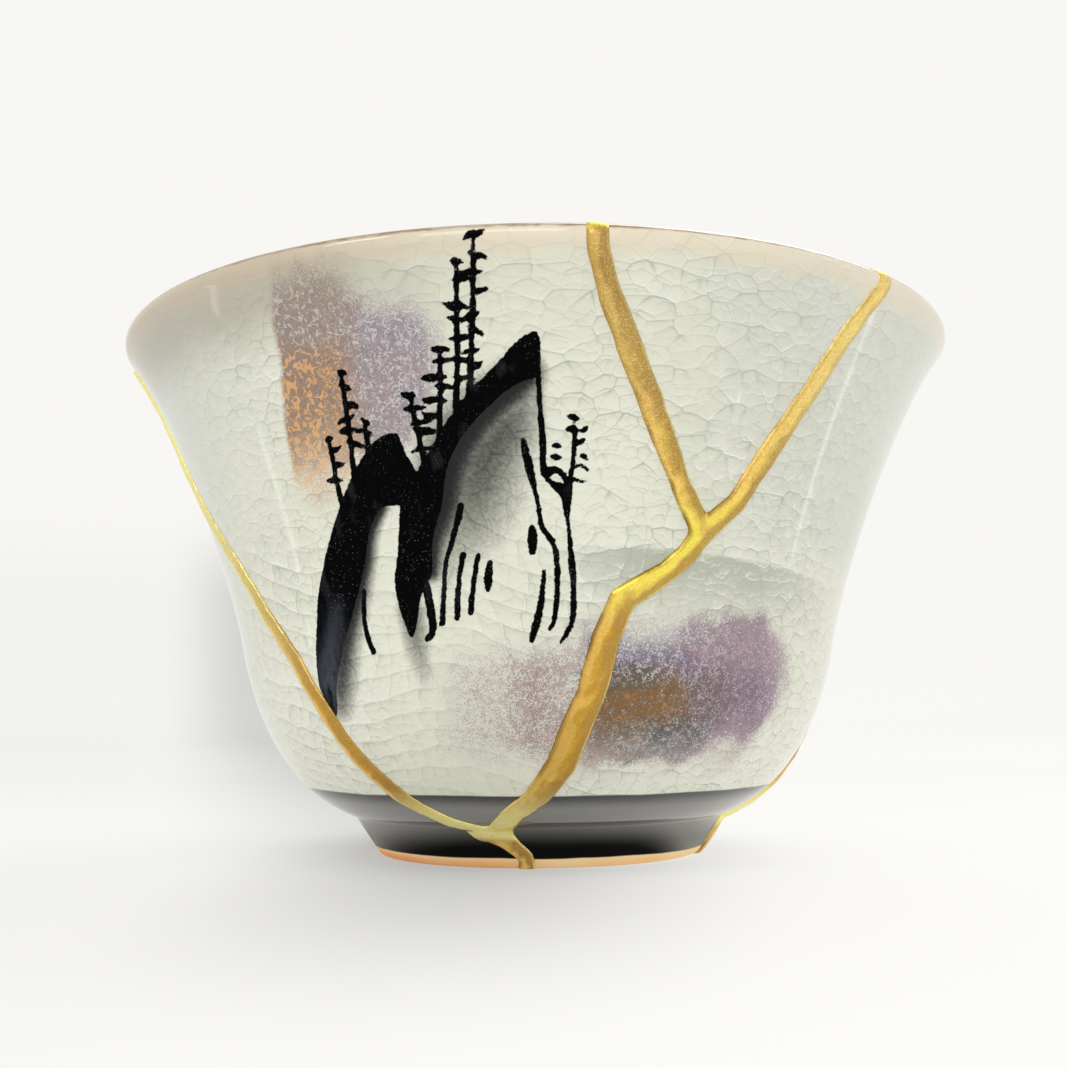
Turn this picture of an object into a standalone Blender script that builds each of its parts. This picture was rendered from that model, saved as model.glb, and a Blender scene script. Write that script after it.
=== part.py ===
"""Kintsugi tea cup: a small flared cup that broke into four sherds, joined again with gold lacquer.

The clay is one turned cup, cut along the cracks. Every crack is a fan of straight lines that starts at
one point on the cup's axis, the focus, so a crack drawn on the outside has a known line on the inside.
The gold is a raised bead on the outside of each crack, over the lip and down the inside, all in one.

Metres, +Z up. The origin is the centre of the foot's underside, and the painted front faces -Y.
An azimuth is in degrees, 0 at the front and growing towards +X. A height is in millimetres.
"""

from math import cos, pi, radians, sin, tau

import bmesh
import bpy
from mathutils import Vector
from mathutils.geometry import interpolate_bezier

MM = 0.001
OBJECT_NAME = "kintsugi-tea-cup"

# Driving dimensions.
RIM_RADIUS = 45.0 * MM
CUP_HEIGHT = 54.5 * MM
FOOT_RADIUS = 17.3 * MM
LIP_RADIUS = 0.95 * MM

# The outside, from the corner over the foot, through the waist, to the lip.
FOOT_CORNER = Vector((20.0, 4.1)) * MM
SHOULDER_HANDLES = (Vector((28.8, 7.2)) * MM, Vector((31.4, 17.8)) * MM)
WAIST = Vector((32.1, 21.7)) * MM
FLARE_HANDLES = (Vector((33.6, 29.8)) * MM, Vector((40.1, 47.3)) * MM)
LIP_NORMAL = Vector((0.795, -0.606))
FOOT_CHAMFER = 0.35 * MM

# The inside, a wall's thickness in: 2 mm at the lip, 3 mm at the waist and 4 mm in the floor.
INNER_WAIST = Vector((29.3, 22.2)) * MM
INNER_FLARE_HANDLES = (Vector((38.6, 48.3)) * MM, Vector((30.8, 30.3)) * MM)
BOWL_HANDLES = (Vector((28.3, 17.6)) * MM, Vector((25.5, 7.6)) * MM)
FLOOR_EDGE = Vector((10.0, 6.9)) * MM
FLOOR_HEIGHT = 6.6 * MM

# The turned recess under the foot ring.
RING_INNER_RADIUS = 14.0 * MM
RECESS_EDGE = Vector((12.7, 2.6)) * MM
RECESS_HEIGHT = 2.3 * MM

TURNING_STEPS = 54
ARC_POINTS = 6
LIP_POINTS = 5

# The gold bead: how far it stands off the glaze, how deep it is bedded, and the gap round it.
PROUD = 0.45 * MM
BEDDED = 0.6 * MM
GAP = 0.3 * MM
BEAD_SIDES = 8
# Where the bead crosses the standing ring it runs this far inside the clay, clear of the ground.
RING_INSET = 0.35 * MM
RING_PROUD = 0.2 * MM
# Over the lip it is rubbed down, so that it is hardly felt there.
LIP_PROUD = 0.15 * MM

# The point on the axis that every crack's fan of lines starts from.
FOCUS = Vector((0.0, 0.0, 35.0)) * MM
FAN_START = 0.3
FAN_END = 1.25
FAN_OVERRUN = 0.6 * MM

# Cracks on the wall, as (azimuth, height, half width of the gold), from a fork up to the lip.
UPPER_FORK = (25.2, 30.7, 1.15)
LOWER_FORK = (-11.5, 3.5, 1.2)
FRONT_FOOT = (-4.0, 1.1, 1.1)
SIDE_FOOT = (76.0, 1.1, 0.95)
WEDGE_LEFT = (
    UPPER_FORK, (21.0, 34.2, 0.95), (16.2, 39.5, 1.1), (12.1, 44.4, 1.15), (8.6, 49.0, 1.1),
    (6.6, 52.6, 1.05),
)
WEDGE_RIGHT = (
    UPPER_FORK, (30.3, 33.4, 1.1), (34.2, 37.8, 1.15), (39.1, 43.6, 1.1), (42.9, 49.4, 1.1),
    (45.0, 52.6, 1.0),
)
FRONT_SEAM = (
    LOWER_FORK, (-6.4, 5.5, 1.2), (-0.5, 7.3, 1.25), (4.0, 10.2, 1.4), (6.5, 13.6, 1.4), (8.7, 16.4, 1.35),
    (10.7, 21.3, 1.3), (13.3, 24.8, 1.25), (19.8, 27.1, 1.1), (23.2, 28.8, 1.1), UPPER_FORK,
)
LEFT_SEAM = (
    LOWER_FORK, (-16.6, 3.6, 1.0), (-23.5, 4.8, 0.9), (-31.0, 7.2, 1.0), (-37.2, 11.1, 0.95),
    (-42.3, 16.2, 0.9), (-46.5, 20.2, 0.9), (-53.6, 24.6, 0.95), (-60.0, 29.3, 1.0), (-66.8, 33.4, 1.05),
    (-74.0, 38.0, 1.1), (-81.5, 44.5, 1.1), (-85.5, 52.6, 1.1),
)
BACK_SEAM = (
    SIDE_FOOT, (77.0, 3.6, 1.0), (82.0, 7.0, 1.0), (89.0, 12.5, 1.1), (95.0, 19.5, 1.1), (101.0, 28.0, 1.1),
    (108.0, 36.0, 1.1), (112.0, 45.0, 1.2), (118.0, 52.6, 1.1),
)
# The crack under the foot, as plan positions in millimetres, between the two ends of it on the foot's side.
BASE_SEAM = (
    (-1.2, -16.6), (-0.9, -15.4), (-0.6, -13.9), (0.2, -12.3), (2.2, -8.6), (6.4, -6.2), (10.7, -5.2),
    (12.9, -4.7), (14.6, -4.5), (16.06, -4.0),
)
BASE_HALF_WIDTH = 1.0 * MM

# Each sherd is known by a place well inside it, as (azimuth, height), and has its own glaze.
SHERDS = {
    "painted-front-sherd": ((-25.0, 30.0), (0.66, 0.67, 0.56)),
    "rim-wedge-sherd": ((26.0, 46.0), (0.68, 0.69, 0.58)),
    "right-sherd": ((70.0, 30.0), (0.64, 0.65, 0.55)),
    "base-and-back-sherd": ((-150.0, 30.0), (0.65, 0.66, 0.55)),
}
GLAZE_LINE = 7.4 * MM
BARE_CLAY_HEIGHT = 0.9 * MM
BLACK_GLAZE = (0.02, 0.018, 0.015)
BARE_CLAY = (0.62, 0.33, 0.19)
GOLD = (0.80, 0.52, 0.15)


def clear_scene():
    """Remove whatever the scene holds."""
    for obj in list(bpy.data.objects):
        bpy.data.objects.remove(obj, do_unlink=True)


def new_collection(name):
    """Make a collection in the scene."""
    collection = bpy.data.collections.new(name)
    bpy.context.scene.collection.children.link(collection)
    return collection


def new_object(name, mesh, collection):
    """Make an object of a mesh in a collection."""
    obj = bpy.data.objects.new(name, mesh)
    collection.objects.link(obj)
    return obj


def principled(name, colour, roughness, metallic=0.0):
    """Make a plain Principled material."""
    material = bpy.data.materials.new(name)
    material.use_nodes = True
    material.diffuse_color = (*colour, 1.0)
    shader = material.node_tree.nodes["Principled BSDF"]
    shader.inputs["Base Color"].default_value = (*colour, 1.0)
    shader.inputs["Roughness"].default_value = roughness
    shader.inputs["Metallic"].default_value = metallic
    return material


def bezier(start, handles, end, count):
    """Points of a cubic arc in the plane of the profile, both ends included."""
    return [point.to_2d() for point in interpolate_bezier(start, handles[0], handles[1], end, count)]


def lip_arc():
    """The half round lip, from the outside over the top to the inside."""
    centre = Vector((RIM_RADIUS - LIP_RADIUS, CUP_HEIGHT - LIP_RADIUS))
    start = LIP_NORMAL.angle_signed(Vector((1.0, 0.0)))
    turns = [start + pi * step / (LIP_POINTS - 1) for step in range(LIP_POINTS)]
    return [centre + LIP_RADIUS * Vector((cos(turn), sin(turn))) for turn in turns]


def outside_profile():
    """The outside as (radius, height), from the foot's edge up to the lip."""
    foot = Vector((FOOT_RADIUS + FOOT_CHAMFER / 2, FOOT_CHAMFER))
    shoulder = bezier(FOOT_CORNER, SHOULDER_HANDLES, WAIST, ARC_POINTS)
    flare = bezier(WAIST, FLARE_HANDLES, lip_arc()[0], ARC_POINTS)
    return [foot] + shoulder + flare[1:]


def inside_profile():
    """The inside as (radius, height), from the lip down to the centre of the floor."""
    flare = bezier(lip_arc()[-1], INNER_FLARE_HANDLES, INNER_WAIST, ARC_POINTS)
    bowl = bezier(INNER_WAIST, BOWL_HANDLES, FLOOR_EDGE, ARC_POINTS)
    return flare + bowl[1:] + [Vector((0.0, FLOOR_HEIGHT))]


def underside_profile(ring_height=0.0):
    """The underside as (radius, height), from the foot's edge in to the axis."""
    return [
        Vector((FOOT_RADIUS - FOOT_CHAMFER, ring_height)),
        Vector((RING_INNER_RADIUS, ring_height)),
        RECESS_EDGE + Vector((0.0, ring_height)),
        Vector((0.0, RECESS_HEIGHT + ring_height)),
    ]


def turned_cup(collection):
    """The whole cup, turned from its profile by a Screw modifier."""
    inside = list(reversed(inside_profile()))
    outside = list(reversed(outside_profile()))
    profile = inside + lip_arc()[::-1][1:-1] + outside + underside_profile()
    mesh = bpy.data.meshes.new("whole-cup")
    edges = [(index, index + 1) for index in range(len(profile) - 1)]
    mesh.from_pydata([(point.x, 0.0, point.y) for point in profile], edges, [])
    cup = new_object("whole-cup", mesh, collection)
    screw = cup.modifiers.new("turning", "SCREW")
    screw.steps = TURNING_STEPS
    screw.render_steps = TURNING_STEPS
    screw.use_merge_vertices = True
    screw.merge_threshold = 0.01 * MM
    return cup


def around(azimuth, point):
    """A place in space, from an azimuth and a (radius, height) of the profile."""
    turn = radians(azimuth)
    return Vector((point.x * sin(turn), -point.x * cos(turn), point.y))


def at_height(profile, height):
    """The point of a rising profile at a height, and its normal, away from the axis."""
    for low, high in zip(profile, profile[1:]):
        if low.y <= height <= high.y:
            rise = (high - low).normalized()
            return low.lerp(high, (height - low.y) / (high.y - low.y)), Vector((rise.y, -rise.x))
    raise ValueError("the height is off the profile")


def seen_from_focus(profile, target):
    """The point of the inside that lies between the focus and a target, and its normal."""
    focus = Vector((0.0, FOCUS.z))
    line = target - focus
    for first, second in zip(profile, profile[1:]):
        side = line.cross(first - focus)
        other = line.cross(second - focus)
        if side * other <= 0.0 and side != other:
            fall = (second - first).normalized()
            return first.lerp(second, side / (side - other)), Vector((fall.y, -fall.x))
    raise ValueError("the target is out of sight")


def station(azimuth, point, normal, half_width, proud=PROUD):
    """One place on a seam: where it is, which way is out, and the bead's half width and height."""
    return around(azimuth, point), around(azimuth, normal), half_width, proud


def outer_stations(route):
    """The stations of a wall crack on the outside."""
    profile = outside_profile()
    return [
        station(azimuth, *at_height(profile, height * MM), half_width * MM)
        for azimuth, height, half_width in route
    ]


def inner_stations(outer):
    """The stations on the inside, behind those of the outside."""
    profile = inside_profile()
    stations = []
    for place, _normal, half_width, _proud in outer:
        target = Vector((place.to_2d().length, place.z))
        azimuth = 90.0 + place.to_2d().angle_signed(Vector((1.0, 0.0))) * 180.0 / pi
        stations.append(station(azimuth, *seen_from_focus(profile, target), half_width))
    return stations


def lip_stations(route):
    """The stations over the lip, at the upper end of a wall crack."""
    azimuth, _height, half_width = route[-1]
    arc = lip_arc()
    centre = (arc[0] + arc[-1]) / 2
    return [
        station(azimuth, point, (point - centre).normalized(), half_width * MM, LIP_PROUD)
        for point in arc
    ]


def base_stations():
    """The stations under the foot, between its two ends on the foot's side."""
    profile = underside_profile(RING_INSET)[::-1]
    down = Vector((0.0, -1.0))
    stations = []
    for x, y in BASE_SEAM:
        plan = Vector((x, y)) * MM
        azimuth = 90.0 + plan.angle_signed(Vector((1.0, 0.0))) * 180.0 / pi
        for inner, outer in zip(profile, profile[1:]):
            if inner.x <= plan.length <= outer.x:
                point = inner.lerp(outer, (plan.length - inner.x) / (outer.x - inner.x))
                stations.append(station(azimuth, point, down, BASE_HALF_WIDTH, RING_PROUD))
    return stations


def bead(name, stations, collection, margin=0.0):
    """Loft a bead through its stations: an oval section that turns with the surface it lies on."""
    places = [place for place, _normal, _half_width, _proud in stations]
    mesh = bpy.data.meshes.new(name)
    shape = bmesh.new()
    rings = []
    for index, (place, normal, half_width, proud) in enumerate(stations):
        along = (places[min(index + 1, len(places) - 1)] - places[max(index - 1, 0)]).normalized()
        if index in (0, len(places) - 1):
            place = place + along * (margin if index else -margin)
        out = (normal - along * normal.dot(along)).normalized()
        across = along.cross(out)
        ring = []
        for side in range(BEAD_SIDES):
            turn = tau * side / BEAD_SIDES
            height = (proud if sin(turn) > 0.0 else BEDDED) + margin
            ring.append(shape.verts.new(
                place + across * cos(turn) * (half_width + margin) + out * sin(turn) * height))
        rings.append(ring)
    for ring, following in zip(rings, rings[1:]):
        for side in range(BEAD_SIDES):
            after = (side + 1) % BEAD_SIDES
            shape.faces.new((ring[side], ring[after], following[after], following[side]))
    shape.faces.new(rings[0])
    shape.faces.new(rings[-1])
    bmesh.ops.recalc_face_normals(shape, faces=shape.faces)
    shape.to_mesh(mesh)
    shape.free()
    return new_object(name, mesh, collection)


def crack(name, stations, collection):
    """The cut of one crack: a fan of lines from the focus through its stations, made as thick as the gap."""
    places = [place for place, _normal, _half_width, _proud in stations]
    places[0] = places[0] + (places[0] - places[1]).normalized() * FAN_OVERRUN
    places[-1] = places[-1] + (places[-1] - places[-2]).normalized() * FAN_OVERRUN
    near = [FOCUS.lerp(place, FAN_START) for place in places]
    far = [FOCUS.lerp(place, FAN_END) for place in places]
    count = len(places)
    faces = [(index, index + 1, count + index + 1, count + index) for index in range(count - 1)]
    mesh = bpy.data.meshes.new(name)
    mesh.from_pydata(near + far, [], faces)
    cut = new_object(name, mesh, collection)
    solidify = cut.modifiers.new("thickness", "SOLIDIFY")
    solidify.thickness = GAP
    solidify.offset = 0.0
    return cut


def boolean(obj, operation, collection):
    """Cut an object by, or join it with, everything in a collection."""
    modifier = obj.modifiers.new(operation.lower(), "BOOLEAN")
    modifier.operation = operation
    modifier.operand_type = "COLLECTION"
    modifier.collection = collection
    modifier.solver = "EXACT"


def evaluated_mesh(obj):
    """A plain mesh of an object with its modifiers applied."""
    bpy.context.view_layer.update()
    return bpy.data.meshes.new_from_object(obj.evaluated_get(bpy.context.evaluated_depsgraph_get()))


def seam_runs():
    """Every run of gold, by name, as a list of stations. The wall runs go over the lip and down the inside."""
    runs = {}
    cracks = {}
    walls = {"wedge-left": WEDGE_LEFT, "wedge-right": WEDGE_RIGHT, "left": LEFT_SEAM, "back": BACK_SEAM}
    for name, route in walls.items():
        outer = outer_stations(route)
        runs[name] = outer[:-1] + lip_stations(route) + inner_stations(outer[:-1])[::-1]
        azimuth = route[-1][0]
        above = around(azimuth, Vector((RIM_RADIUS, CUP_HEIGHT + 3.0 * MM)))
        cracks[name] = outer + [(above, None, None, None)]
    front = outer_stations(FRONT_SEAM)
    runs["front"] = front
    runs["front-inside"] = inner_stations(front)
    cracks["front"] = front
    base = outer_stations((LOWER_FORK, FRONT_FOOT)) + base_stations() + outer_stations((SIDE_FOOT,))
    runs["base"] = base
    runs["base-inside"] = inner_stations(base)
    cracks["base"] = base
    return runs, cracks


def islands(mesh):
    """The separate bodies of a mesh, each as a set of face indices."""
    shape = bmesh.new()
    shape.from_mesh(mesh)
    unseen = set(shape.faces)
    found = []
    while unseen:
        body = set()
        front = [unseen.pop()]
        while front:
            face = front.pop()
            body.add(face.index)
            near = {other for edge in face.edges for other in edge.link_faces} & unseen
            unseen -= near
            front.extend(near)
        found.append(body)
    shape.free()
    return found


def without_others(mesh, keep):
    """A copy of a mesh with only the faces of one body."""
    copy = mesh.copy()
    shape = bmesh.new()
    shape.from_mesh(copy)
    others = [face for face in shape.faces if face.index not in keep]
    bmesh.ops.delete(shape, geom=others, context="FACES")
    shape.to_mesh(copy)
    shape.free()
    return copy


def paint(mesh, glaze):
    """Give a sherd its glaze, with black glaze round the foot and bare clay where it stands."""
    for material in (glaze, MATERIALS["black"], MATERIALS["bare"]):
        mesh.materials.append(material)
    for face in mesh.polygons:
        outside = face.normal.dot(Vector((face.center.x, face.center.y, -0.001))) > 0.0
        if outside and face.center.z < BARE_CLAY_HEIGHT:
            face.material_index = 2
        elif outside and face.center.z < GLAZE_LINE:
            face.material_index = 1


def make_sherds(cutters, tools, parts):
    """Cut the cup along the cracks and keep each piece as its own sherd."""
    cup = turned_cup(tools)
    boolean(cup, "DIFFERENCE", cutters)
    broken = evaluated_mesh(cup)
    bodies = islands(broken)
    profile = outside_profile()
    for name, ((azimuth, height), colour) in SHERDS.items():
        marker = around(azimuth, at_height(profile, height * MM)[0])
        body = min(bodies, key=lambda faces: min((broken.polygons[i].center - marker).length for i in faces))
        mesh = without_others(broken, body)
        mesh.name = name
        paint(mesh, principled(name + "-glaze", colour, 0.18))
        mesh.shade_smooth()
        mesh.set_sharp_from_angle(angle=radians(35.0))
        new_object(name, mesh, parts)
    bpy.data.objects.remove(cup)


def make_gold(runs, tools, parts):
    """Join every run of gold into one seam."""
    beads = new_collection("gold-runs")
    names = list(runs)
    seam = bead("gold-seam", runs[names[0]], parts)
    for name in names[1:]:
        bead("run-" + name, runs[name], beads)
    boolean(seam, "UNION", beads)
    for run in beads.objects:
        run.hide_render = True
        run.display_type = "WIRE"
    seam.data.materials.append(principled("gold-lacquer", GOLD, 0.3, 1.0))
    return seam


def main():
    """Build the four sherds and the gold seam."""
    clear_scene()
    parts = new_collection(OBJECT_NAME)
    cutters = new_collection("cutters")
    tools = new_collection("tools")
    MATERIALS["black"] = principled("black-glaze", BLACK_GLAZE, 0.12)
    MATERIALS["bare"] = principled("bare-clay", BARE_CLAY, 0.8)
    runs, cracks = seam_runs()
    for name, stations in runs.items():
        bead("groove-" + name, stations, cutters, margin=GAP)
    for name, stations in cracks.items():
        crack("crack-" + name, stations, cutters)
    make_sherds(cutters, tools, parts)
    make_gold(runs, tools, parts)
    for cutter in cutters.objects:
        cutter.hide_render = True
        cutter.display_type = "WIRE"


MATERIALS = {}
main()
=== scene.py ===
"""The looks of a kintsugi tea cup: four crackle glazed sherds and the gold lacquer that joins them.

The cup is one turned skin: its outline runs from the centre of the underside, up the outside, over the
lip and down the inside to the centre of the floor. A place on it is an azimuth, 0 at the painted front
and growing towards +X, and a length along the outline. The sherds are that skin cut along fans of lines
from a focus on the axis, and the gold is the same skin raised where it lies close to a crack.

Lengths are metres unless a name says millimetres. A tuple of (azimuth, height, width) is in degrees,
millimetres and millimetres. A noise is its cells to a metre and its octaves, a ripple is its amount, its
wavelength and its seed, and a band is the two values between which something comes in.
"""

import logging
from dataclasses import dataclass, field
from enum import Enum

import bmesh
import bpy
import numpy as np
from mathutils import Matrix, Vector

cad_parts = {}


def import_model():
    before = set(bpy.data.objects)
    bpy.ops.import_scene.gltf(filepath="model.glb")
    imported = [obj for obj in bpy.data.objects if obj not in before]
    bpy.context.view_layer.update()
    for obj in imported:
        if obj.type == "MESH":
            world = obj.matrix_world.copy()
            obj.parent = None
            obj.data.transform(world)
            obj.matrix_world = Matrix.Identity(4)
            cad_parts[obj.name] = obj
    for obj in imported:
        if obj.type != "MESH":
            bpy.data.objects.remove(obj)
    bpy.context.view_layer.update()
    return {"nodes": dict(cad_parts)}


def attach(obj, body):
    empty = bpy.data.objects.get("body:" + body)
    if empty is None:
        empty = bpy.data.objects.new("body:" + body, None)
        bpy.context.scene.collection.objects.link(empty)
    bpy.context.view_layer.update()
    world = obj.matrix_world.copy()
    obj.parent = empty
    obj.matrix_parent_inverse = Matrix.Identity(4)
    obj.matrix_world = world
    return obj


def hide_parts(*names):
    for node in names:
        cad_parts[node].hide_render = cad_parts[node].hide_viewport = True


Array = np.ndarray
Colour = tuple[float, float, float]
Place = tuple[float, float]
Band = tuple[float, float]
Bands = tuple[Band, Band]
Noise = tuple[float, float]
Places = tuple[tuple[float, float, float], ...]
Ripples = tuple[tuple[float, float, int], ...]
Washes = tuple[tuple[tuple[float, float, float, float], ...], ...]

MM = 0.001
FULL_TURN = 360.0
TINY = 1e-6
WAVE_SPREAD = (0.7, 1.5)
WAVE_CREST = 2.2
BODY = "root"
LOG = logging.getLogger("tea-cup")


class Sherd(Enum):
    """The pieces that the cup broke into, by the CAD node that each one replaces."""

    PAINTED_FRONT = "painted-front-sherd"
    RIM_WEDGE = "rim-wedge-sherd"
    RIGHT = "right-sherd"
    BASE_AND_BACK = "base-and-back-sherd"


class Mask(Enum):
    """What is painted or known at each point of the clay, by the name of its attribute."""

    OUTSIDE = "outside"
    INK = "ink"
    WASH = "wash"
    HAZE = "haze"
    GROUND = "ground"
    GROUND_COVER = "ground-cover"
    CURLS = "curls"
    CURLS_COVER = "curls-cover"


# ---------------------------------------------------------------------------------------------- shapes


def metres(lengths: tuple) -> Array:
    """Millimetres as metres."""
    return np.array(lengths) * MM


def smooth_step(values: Array) -> Array:
    """0 below 0, 1 above 1, and 3t^2 - 2t^3 between."""
    share = np.clip(values, 0.0, 1.0)
    return share * share * (3.0 - 2.0 * share)


def bezier(start: Array, handles: Array, end: Array, count: int = 160) -> Array:
    """A cubic arc: the points weighted by (1-t)^3, 3(1-t)^2 t, 3(1-t) t^2 and t^3, t running from 0 to 1.

    Args:
        start: The first point, as (radius, height).
        handles: The two points that the arc leans towards.
        end: The last point.
        count: How many points to work out.

    Returns:
        The points, one a row.
    """
    t = np.linspace(0.0, 1.0, count)[:, None]
    weights = ((1 - t) ** 3, 3 * (1 - t) ** 2 * t, 3 * (1 - t) * t**2, t**3)
    return sum(weight * np.asarray(point) for weight, point in zip(weights, (start, *handles, end)))


def flowing(points: Array, steps: int, closed: bool = False) -> Array:
    """A smooth line through points, by the Catmull-Rom cubic between each pair of them.

    Args:
        points: The points to pass through, one a row.
        steps: How many steps to take between two of them.
        closed: Whether the line comes back to its first point.

    Returns:
        The smooth line's points, one a row.
    """
    ends = (points[-1:], points[:1], points[1:2]) if closed else (points[:1], points[-1:], points[:0])
    p = np.vstack((ends[0], points, ends[1], ends[2]))
    t = (np.arange(steps) / steps)[None, :, None]
    a, b, c, d = (p[i:len(p) - 3 + i, None, :] for i in range(4))
    line = 0.5 * (2 * b + (c - a) * t + (2 * a - 5 * b + 4 * c - d) * t**2 + (3 * b - a - 3 * c + d) * t**3)
    line = line.reshape(-1, points.shape[1])
    return line if closed else np.vstack((line, points[-1:]))


def lengths_along(points: Array) -> Array:
    """The length along a line at each of its points."""
    return np.concatenate(([0.0], np.cumsum(np.linalg.norm(np.diff(points, axis=0), axis=1))))


def interpolated(at: Array, along: Array, table: Array) -> Array:
    """The rows of a table between its own, where a length that grows along it has the wanted values."""
    return np.stack([np.interp(at, along, column) for column in table.T], axis=-1)


def ripple(points: Array, wavelength: float, seed: int, waves: int = 28) -> Array:
    """Smooth noise from -1 to 1: the mean of sine waves that cross space in random directions.

    Args:
        points: The places to work it out at, one a row.
        wavelength: The mean length of a wave.
        seed: Which noise it is.
        waves: How many waves are summed.

    Returns:
        One value a place.
    """
    random = np.random.default_rng(seed)
    directions = random.normal(size=(waves, 3))
    directions /= np.linalg.norm(directions, axis=1, keepdims=True)
    turns = 2 * np.pi / (wavelength * random.uniform(*WAVE_SPREAD, waves))
    phases = random.uniform(0.0, 2 * np.pi, waves)
    total = np.zeros(len(points), np.float32)
    for direction, turn, phase in zip(directions, turns, phases):
        total += np.sin(points @ (direction * turn) + phase)
    return total / np.sqrt(waves / 2) / WAVE_CREST


def rippled(points: Array, ripples: Ripples, level: float = 0.0) -> Array:
    """Ripples laid on a level, one over the other."""
    return sum((amount * ripple(points, length, seed) for amount, length, seed in ripples), level)


def segment_reach(points: Array, start: Array, end: Array, widths: tuple[float, float]) -> Array:
    """How far inside a tapered stroke each point lies: the half width nearest to it, less the distance.

    Args:
        points: The points to measure, with the coordinates in the last axis.
        start: One end of the stroke's line.
        end: The other end.
        widths: The half width at each end.

    Returns:
        One length a point, above zero inside.
    """
    line = end - start
    size = float(line @ line) + 1e-18
    share = np.clip(((points - start) @ line) / size, 0.0, 1.0)
    distance = np.linalg.norm(points - start - share[..., None] * line, axis=-1)
    return widths[0] + (widths[1] - widths[0]) * share - distance


def linked(name: str, data: bpy.types.ID) -> bpy.types.Object:
    """Makes an object at the origin, and links it to the scene.

    Args:
        name: The object's name.
        data: Its mesh, its camera or its light.

    Returns:
        The object.
    """
    obj = bpy.data.objects.new(name, data)
    bpy.context.scene.collection.objects.link(obj)
    return obj


def new_mesh(name: str, points: Array, faces: Array | list) -> bpy.types.Object:
    """Makes a smooth shaded mesh object from its vertices and its faces.

    Args:
        name: The name of the mesh and of the object.
        points: The vertices, one a row.
        faces: Each face's vertex numbers.

    Returns:
        The object.
    """
    mesh = bpy.data.meshes.new(name)
    mesh.from_pydata(points.tolist(), [], faces if isinstance(faces, list) else faces.tolist())
    mesh.shade_smooth()
    return linked(name, mesh)


def grid_quads(rows: int, columns: int) -> Array:
    """The faces of a closed band of a grid: so many rows of cells, with the last column next to the first.

    Args:
        rows: How many rows of cells there are.
        columns: How many columns there are.

    Returns:
        Four vertex numbers a face.
    """
    first = np.arange(columns)
    after = (first + 1) % columns
    starts = (np.arange(rows) * columns)[:, None]
    corners = (starts + first, starts + after, starts + columns + after, starts + columns + first)
    return np.stack(corners, axis=-1).reshape(-1, 4)


def store(mesh: bpy.types.Mesh, name: str, values: Array) -> None:
    """Stores a number, or three, at each vertex as a named attribute.

    Args:
        mesh: The mesh.
        name: The attribute's name.
        values: What to store, in vertex order.
    """
    kind, part = ("FLOAT", "value") if values.ndim == 1 else ("FLOAT_VECTOR", "vector")
    attribute = mesh.attributes.new(name, kind, "POINT")
    attribute.data.foreach_set(part, values.astype(np.float32).reshape(-1))


def vertices_of(mesh: bpy.types.Mesh) -> Array:
    """The places of a mesh's vertices.

    Args:
        mesh: The mesh.

    Returns:
        The coordinates, one vertex a row.
    """
    flat = np.empty(len(mesh.vertices) * 3, np.float32)
    mesh.vertices.foreach_get("co", flat)
    return flat.reshape(-1, 3).astype(float)


def triangles_of(mesh: bpy.types.Mesh) -> Array:
    """The triangles that a mesh is drawn with.

    Args:
        mesh: The mesh.

    Returns:
        Three vertex numbers a triangle.
    """
    mesh.calc_loop_triangles()
    flat = np.empty(len(mesh.loop_triangles) * 3, np.int32)
    mesh.loop_triangles.foreach_get("vertices", flat)
    return flat.reshape(-1, 3)


def body_labels(count: int, triangles: Array) -> Array:
    """The bodies of a mesh: labels spread along edges, and jump to their label's label, until they stay.

    Args:
        count: How many vertices the mesh has.
        triangles: Its triangles.

    Returns:
        For each vertex, the lowest vertex number in its body.
    """
    edges = np.vstack((triangles[:, :2], triangles[:, 1:]))
    labels = np.arange(count)
    while True:
        lowest = np.minimum(labels[edges[:, 0]], labels[edges[:, 1]])
        spread = labels.copy()
        np.minimum.at(spread, edges[:, 0], lowest)
        np.minimum.at(spread, edges[:, 1], lowest)
        np.minimum.at(spread, labels[edges[:, 0]], lowest)
        np.minimum.at(spread, labels[edges[:, 1]], lowest)
        spread = spread[spread]
        if np.array_equal(spread, labels):
            return labels
        labels = spread


# --------------------------------------------------------------------------------------------- the skin


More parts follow.
